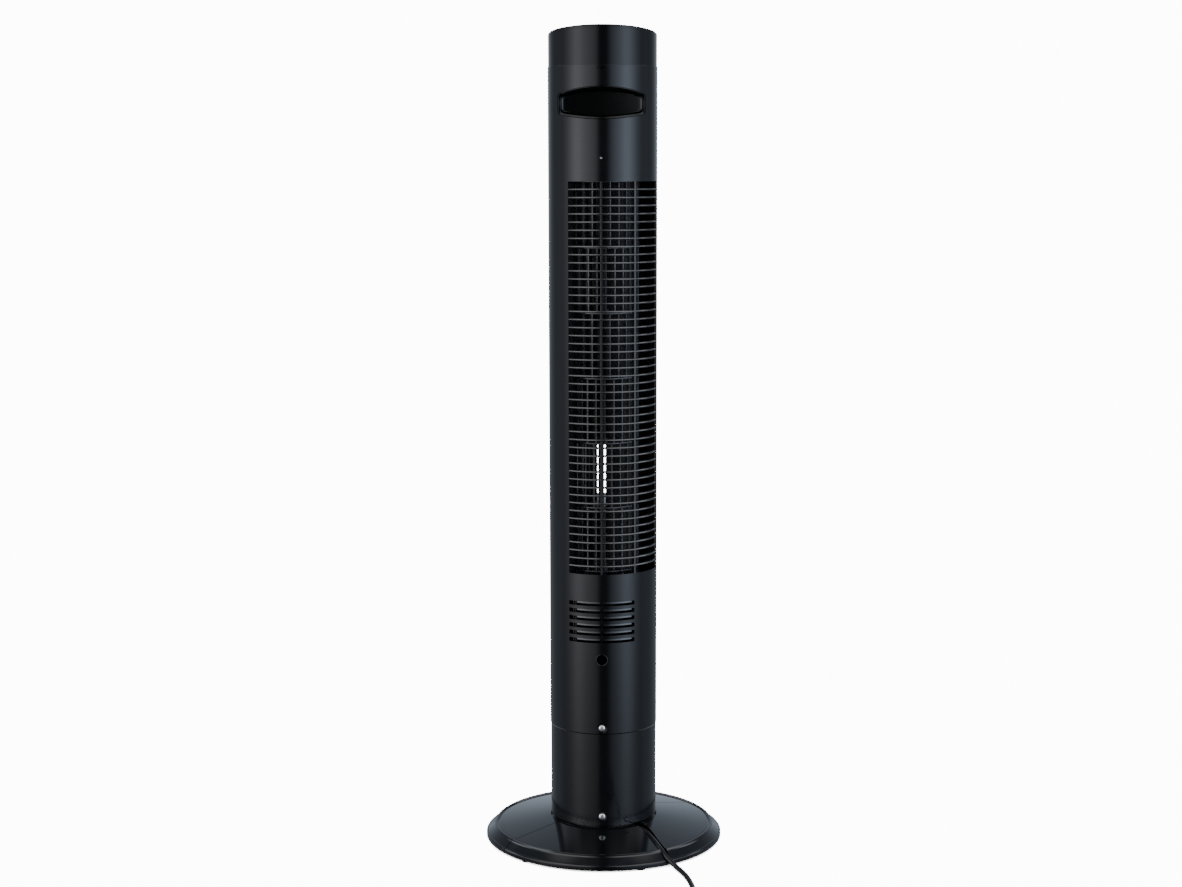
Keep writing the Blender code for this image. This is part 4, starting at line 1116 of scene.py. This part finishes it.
def make_panel():
    profile = rounded([
        (0.05, -2.0, 0.0), (PANEL_RADIUS, -2.0, 0.0), (PANEL_RADIUS, -0.15, 0.6),
        (PANEL_RADIUS - 1.0, -0.15, 0.0),
        (0.05, -0.15, 0.0)
    ], 4)
    panel = turned("panel_plate", profile, PANEL, 180, lean=True, sharp=40)
    cutters = [leaning_block("window", (-20.2, 20.2), (11.8, 26.2), (-3.0, 5.0), 2.2, PANEL)]
    for x in BUTTON_X.values():
        place = button_spot(x)
        low, high = on_top(*place, 6.0), on_top(*place, -6.0)
        cutters.append(rod("hole", low, high, [(0, 6.3), (12, 6.3)], PANEL, 48))
    for cutter in cutters:
        cut(panel, cutter)
    on_body(panel, "tower", "body_plastic", "control_panel")
    lens = leaning_block("lens_pane", (-20.0, 20.0), (12.0, 26.0), (0.3, 1.8), 2.0, LENS)
    on_body(lens, "tower", "lens", "display_lens")


def key_marks(name, place):
    """Small raised marks that tell the keys apart: a ring with a stroke, bars, an arc of dots."""
    x, y = place
    mesh = bmesh.new()

    def stroke(points, wide):
        line = [Vector(p) for p in points]
        left, right = [], []
        for i, here in enumerate(line):
            along = (line[min(i + 1, len(line) - 1)] - line[max(i - 1, 0)]).normalized()
            side = Vector((-along.y, along.x)) * wide / 2
            left.append(here + side)
            right.append(here - side)
        outline = left + right[::-1]
        loops = [[tuple(on_top(p.x, p.y, drop)) for p in outline] for drop in (-0.75, -0.97)]
        add_loft(mesh, loops)

    def arc(radius, first, last, wide, steps=20):
        stroke([(x + radius * math.cos(math.radians(a)), y + radius * math.sin(math.radians(a)))
                for a in spread(first, last, steps)], wide)

    if name == "power":
        arc(2.0, 125.0, 415.0, 0.5)
        stroke([(x, y + 0.4), (x, y + 2.7)], 0.5)
    elif name == "speed":
        for i, high in enumerate((1.4, 2.4, 3.4)):
            stroke([(x - 1.6 + 1.6 * i, y - 1.7), (x - 1.6 + 1.6 * i, y - 1.7 + high)], 0.7)
    elif name == "timer":
        arc(2.1, 0.0, 345.0, 0.45, 28)
        stroke([(x, y + 1.3), (x, y), (x + 1.0, y)], 0.45)
    elif name == "mode":
        for lift in (-1.2, 0.0, 1.2):
            points = [(x - 2.0 + 4.0 * t / 12,
                y + lift + 0.4 * math.sin(2 * math.pi * t / 12)) for t in range(13)]
            stroke(points, 0.42)
    else:
        arc(2.6, 40.0, 140.0, 0.45)
        stroke([(x - 2.6, y + 1.0), (x - 2.0, y + 1.75), (x - 1.1, y + 1.4)], 0.42)
        stroke([(x + 2.6, y + 1.0), (x + 2.0, y + 1.75), (x + 1.1, y + 1.4)], 0.42)
        stroke([(x, y - 2.0), (x, y + 0.6)], 0.6)
    return make(f"{name}_mark", mesh, MARK)


def make_keys():
    for name, x in BUTTON_X.items():
        place = button_spot(x)
        steps = [(-9.4, 2.3), (-3.7, 2.3), (-3.7, 7.2), (-2.3, 7.2), (-2.3, 5.95), (0.3, 5.95),
            (0.62, 5.8), (0.85, 5.4),
            (0.92, 4.9), (0.80, 4.2), (0.74, 2.5), (0.72, 0.8)]
        base = on_top(*place)
        key = rod(f"{name}_key_cap", base, on_top(*place, -10.0), steps, KEY, 56, 40)
        on_body(key, f"{name}_key", "key_plastic", f"{name}_button")
        on_body(key_marks(name, place), f"{name}_key", "key_plastic")


make_cap()
make_panel()
make_keys()


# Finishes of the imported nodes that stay

STAYING = {
    "base_lock_ring": INNER,
    "oscillation_gear": ACETAL,
    "slide_ring": ACETAL,
    "turntable": INNER,
    "spindle_retainer": STEEL,
    "swing_motor": STEEL,
    "swing_pinion": ACETAL,
    "motor_bulkhead": INNER,
    "top_bulkhead": INNER,
    "bearing_bush": BRONZE,
    "scroll_wall": INNER,
    "tongue_wall": INNER,
    "fan_motor": CAN,
    "motor_capacitor": CASE,
    "motor_shaft": STEEL,
    "impeller_pin": STEEL,
    "control_board": BOARD,
}
for i in range(1, 5):
    STAYING[f"base_screw_{i}"] = ZINC
for i in range(1, 4):
    STAYING[f"motor_screw_{i}"] = ZINC
for i in range(1, 7):
    STAYING[f"foot_{i}"] = FOOT
for node, finish in STAYING.items():
    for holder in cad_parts[node].material_slots:
        holder.material = finish


# Studio


# Two upright soft lights, as (degrees from the rear, brightness), and how they fade with height
LEFT_LIGHT = [(0.0, 0.0), (5.0, 0.05), (9.0, 0.5), (13.0, 0.88), (21.0, 1.2), (30.0, 1.5), (39.0, 1.85),
    (48.0, 2.4),
    (58.0, 2.4), (68.0, 1.6), (78.0, 0.85), (90.0, 0.3), (105.0, 0.04), (120.0, 0.0)]
RIGHT_LIGHT = [(0.0, 0.0), (9.0, 0.02), (13.0, 0.2), (18.0, 0.65), (22.0, 0.95), (30.0, 1.4),
    (39.0, 2.0), (48.0, 2.7),
    (58.0, 2.7), (68.0, 1.85), (78.0, 0.95), (90.0, 0.3), (105.0, 0.04), (120.0, 0.0)]
FALL_OFF = [(-32.0, 0.0), (-24.0, 0.08), (-17.5, 0.24), (-15.5, 0.34), (-13.8, 0.47), (-11.5, 0.62),
    (-6.0, 0.86),
    (-1.0, 1.0), (1.0, 0.98), (3.0, 0.84), (6.0, 0.68), (12.0, 0.4), (28.0, 0.1), (38.0, 0.0)]
BACKDROP = [(-8.0, 0.0), (1.0, 1.0), (9.0, 0.95), (20.0, 0.62), (36.0, 0.36), (48.0, 0.2), (58.0, 0.0)]


def world_node(tree, kind, **values):
    node = tree.nodes.new(kind)
    for key, value in values.items():
        setattr(node, key, value)
    return node


def make_world():
    world = bpy.data.worlds.new("studio")
    bpy.context.scene.world = world
    world.use_nodes = True
    tree = world.node_tree
    tree.nodes.clear()
    where = tree.nodes.new("ShaderNodeTexCoord").outputs["Generated"]
    parts = tree.nodes.new("ShaderNodeSeparateXYZ")
    link(tree, where, parts.inputs[0])

    def calc(operation, *values):
        node = world_node(tree, "ShaderNodeMath", operation=operation)
        for i, value in enumerate(values):
            if isinstance(value, (int, float)):
                node.inputs[i].default_value = value
            else:
                link(tree, value, node.inputs[i])
        return node.outputs[0]

    def step(value, low, high):
        node = world_node(tree, "ShaderNodeMapRange", interpolation_type="SMOOTHSTEP")
        node.inputs["From Min"].default_value = low
        node.inputs["From Max"].default_value = high
        link(tree, value, node.inputs["Value"])
        return node.outputs["Result"]

    def band(value, low0, low1, high1, high0):
        falling = calc("SUBTRACT", 1.0, step(value, high1, high0))
        return calc("MULTIPLY", step(value, low0, low1), falling)

    side = calc("DEGREES", calc("ARCTAN2", parts.outputs["X"], parts.outputs["Y"]))
    height = calc("DEGREES", calc("ARCSINE", parts.outputs["Z"]))
    off = calc("ABSOLUTE", side)

    def ramp(value, low, high, stops):
        """A smooth brightness along an angle; stops holds (degrees, brightness up to 4)."""
        node = tree.nodes.new("ShaderNodeValToRGB")
        points = node.color_ramp.elements
        while len(points) > 1:
            points.remove(points[-1])
        for i, (angle, bright) in enumerate(stops):
            point = points[0] if i == 0 else points.new(0.5)
            point.position = (angle - low) / (high - low)
            point.color = (bright / 4, bright / 4, bright / 4, 1.0)
        place = world_node(tree, "ShaderNodeMapRange")
        place.inputs["From Min"].default_value = low
        place.inputs["From Max"].default_value = high
        link(tree, value, place.inputs["Value"])
        link(tree, place.outputs["Result"], node.inputs["Fac"])
        return calc("MULTIPLY", node.outputs["Color"], 4.0)

    level = ramp(height, -40.0, 40.0, FALL_OFF)
    backdrop = ramp(height, -10.0, 60.0, BACKDROP)
    rows = (
        ((1.0, 1.0, 1.08), calc("MULTIPLY", ramp(side, 0.0, 180.0, LEFT_LIGHT), level)),
        ((0.86, 1.0, 1.20), calc("MULTIPLY", ramp(calc("MULTIPLY", side, -1.0), 0.0, 180.0,
        RIGHT_LIGHT), level)),
        ((2.0, 2.0, 2.0), calc("MULTIPLY", band(off, 0, 26, 60, 100), band(height, 30, 42, 58, 74))),
        ((2.4, 2.5, 2.7), calc("MULTIPLY", band(off, 50, 65, 105, 125), band(height, 14, 20, 32, 40))),
        ((0.17, 0.20, 0.24), step(off, 60, 110)),
        ((0.04, 0.04, 0.04), step(off, -2, -1)),
        ((0.34, 0.40, 0.47), calc("MULTIPLY", step(off, 125, 165), backdrop)),
        ((0.9, 0.9, 0.9), calc("MULTIPLY", band(off, 95, 112, 150, 168),
        band(height, -60, -45, -24, -18))),
    )
    total = None
    for tint, shape in rows:
        lamp = tree.nodes.new("ShaderNodeVectorMath")
        lamp.operation = "SCALE"
        lamp.inputs[0].default_value = tint
        link(tree, shape, lamp.inputs["Scale"])
        if total is None:
            total = lamp.outputs[0]
            continue
        add = tree.nodes.new("ShaderNodeVectorMath")
        add.operation = "ADD"
        link(tree, total, add.inputs[0])
        link(tree, lamp.outputs[0], add.inputs[1])
        total = add.outputs[0]

    lit = tree.nodes.new("ShaderNodeBackground")
    link(tree, total, lit.inputs["Color"])
    seen = tree.nodes.new("ShaderNodeBackground")
    seen.inputs["Color"].default_value = (1.0, 1.0, 1.0, 1.0)
    seen.inputs["Strength"].default_value = 13.0
    mix = tree.nodes.new("ShaderNodeMixShader")
    link(tree, tree.nodes.new("ShaderNodeLightPath").outputs["Is Camera Ray"], mix.inputs[0])
    link(tree, lit.outputs[0], mix.inputs[1])
    link(tree, seen.outputs[0], mix.inputs[2])
    output = tree.nodes.new("ShaderNodeOutputWorld")
    link(tree, mix.outputs[0], output.inputs["Surface"])


def make_floor():
    made = bpy.data.materials.new("pale_floor")
    made.use_nodes = True
    tree = made.node_tree
    tree.nodes.remove(tree.nodes["Principled BSDF"])
    clear = tree.nodes.new("ShaderNodeBsdfTransparent")
    pale = tree.nodes.new("ShaderNodeEmission")
    # Painted contact shadow: the floor's even glow for the camera dims where the AO node finds the fan
    # close.
    painted_contact_shadow = tree.nodes.new("ShaderNodeAmbientOcclusion")
    painted_contact_shadow.inputs["Distance"].default_value = 0.05
    painted_contact_shadow.samples = 8
    link(tree, ranged(tree, painted_contact_shadow.outputs["AO"], 0.02, 13.0, 0.02, 0.5), pale.inputs["Strength"])
    mix = tree.nodes.new("ShaderNodeMixShader")
    link(tree, tree.nodes.new("ShaderNodeLightPath").outputs["Is Camera Ray"], mix.inputs[0])
    link(tree, clear.outputs[0], mix.inputs[1])
    link(tree, pale.outputs[0], mix.inputs[2])
    link(tree, mix.outputs[0], tree.nodes["Material Output"].inputs["Surface"])
    mesh = bmesh.new()
    bmesh.ops.create_circle(mesh, cap_ends=True, segments=96, radius=1100.0)
    floor = make("floor", mesh, made)


make_world()
make_floor()
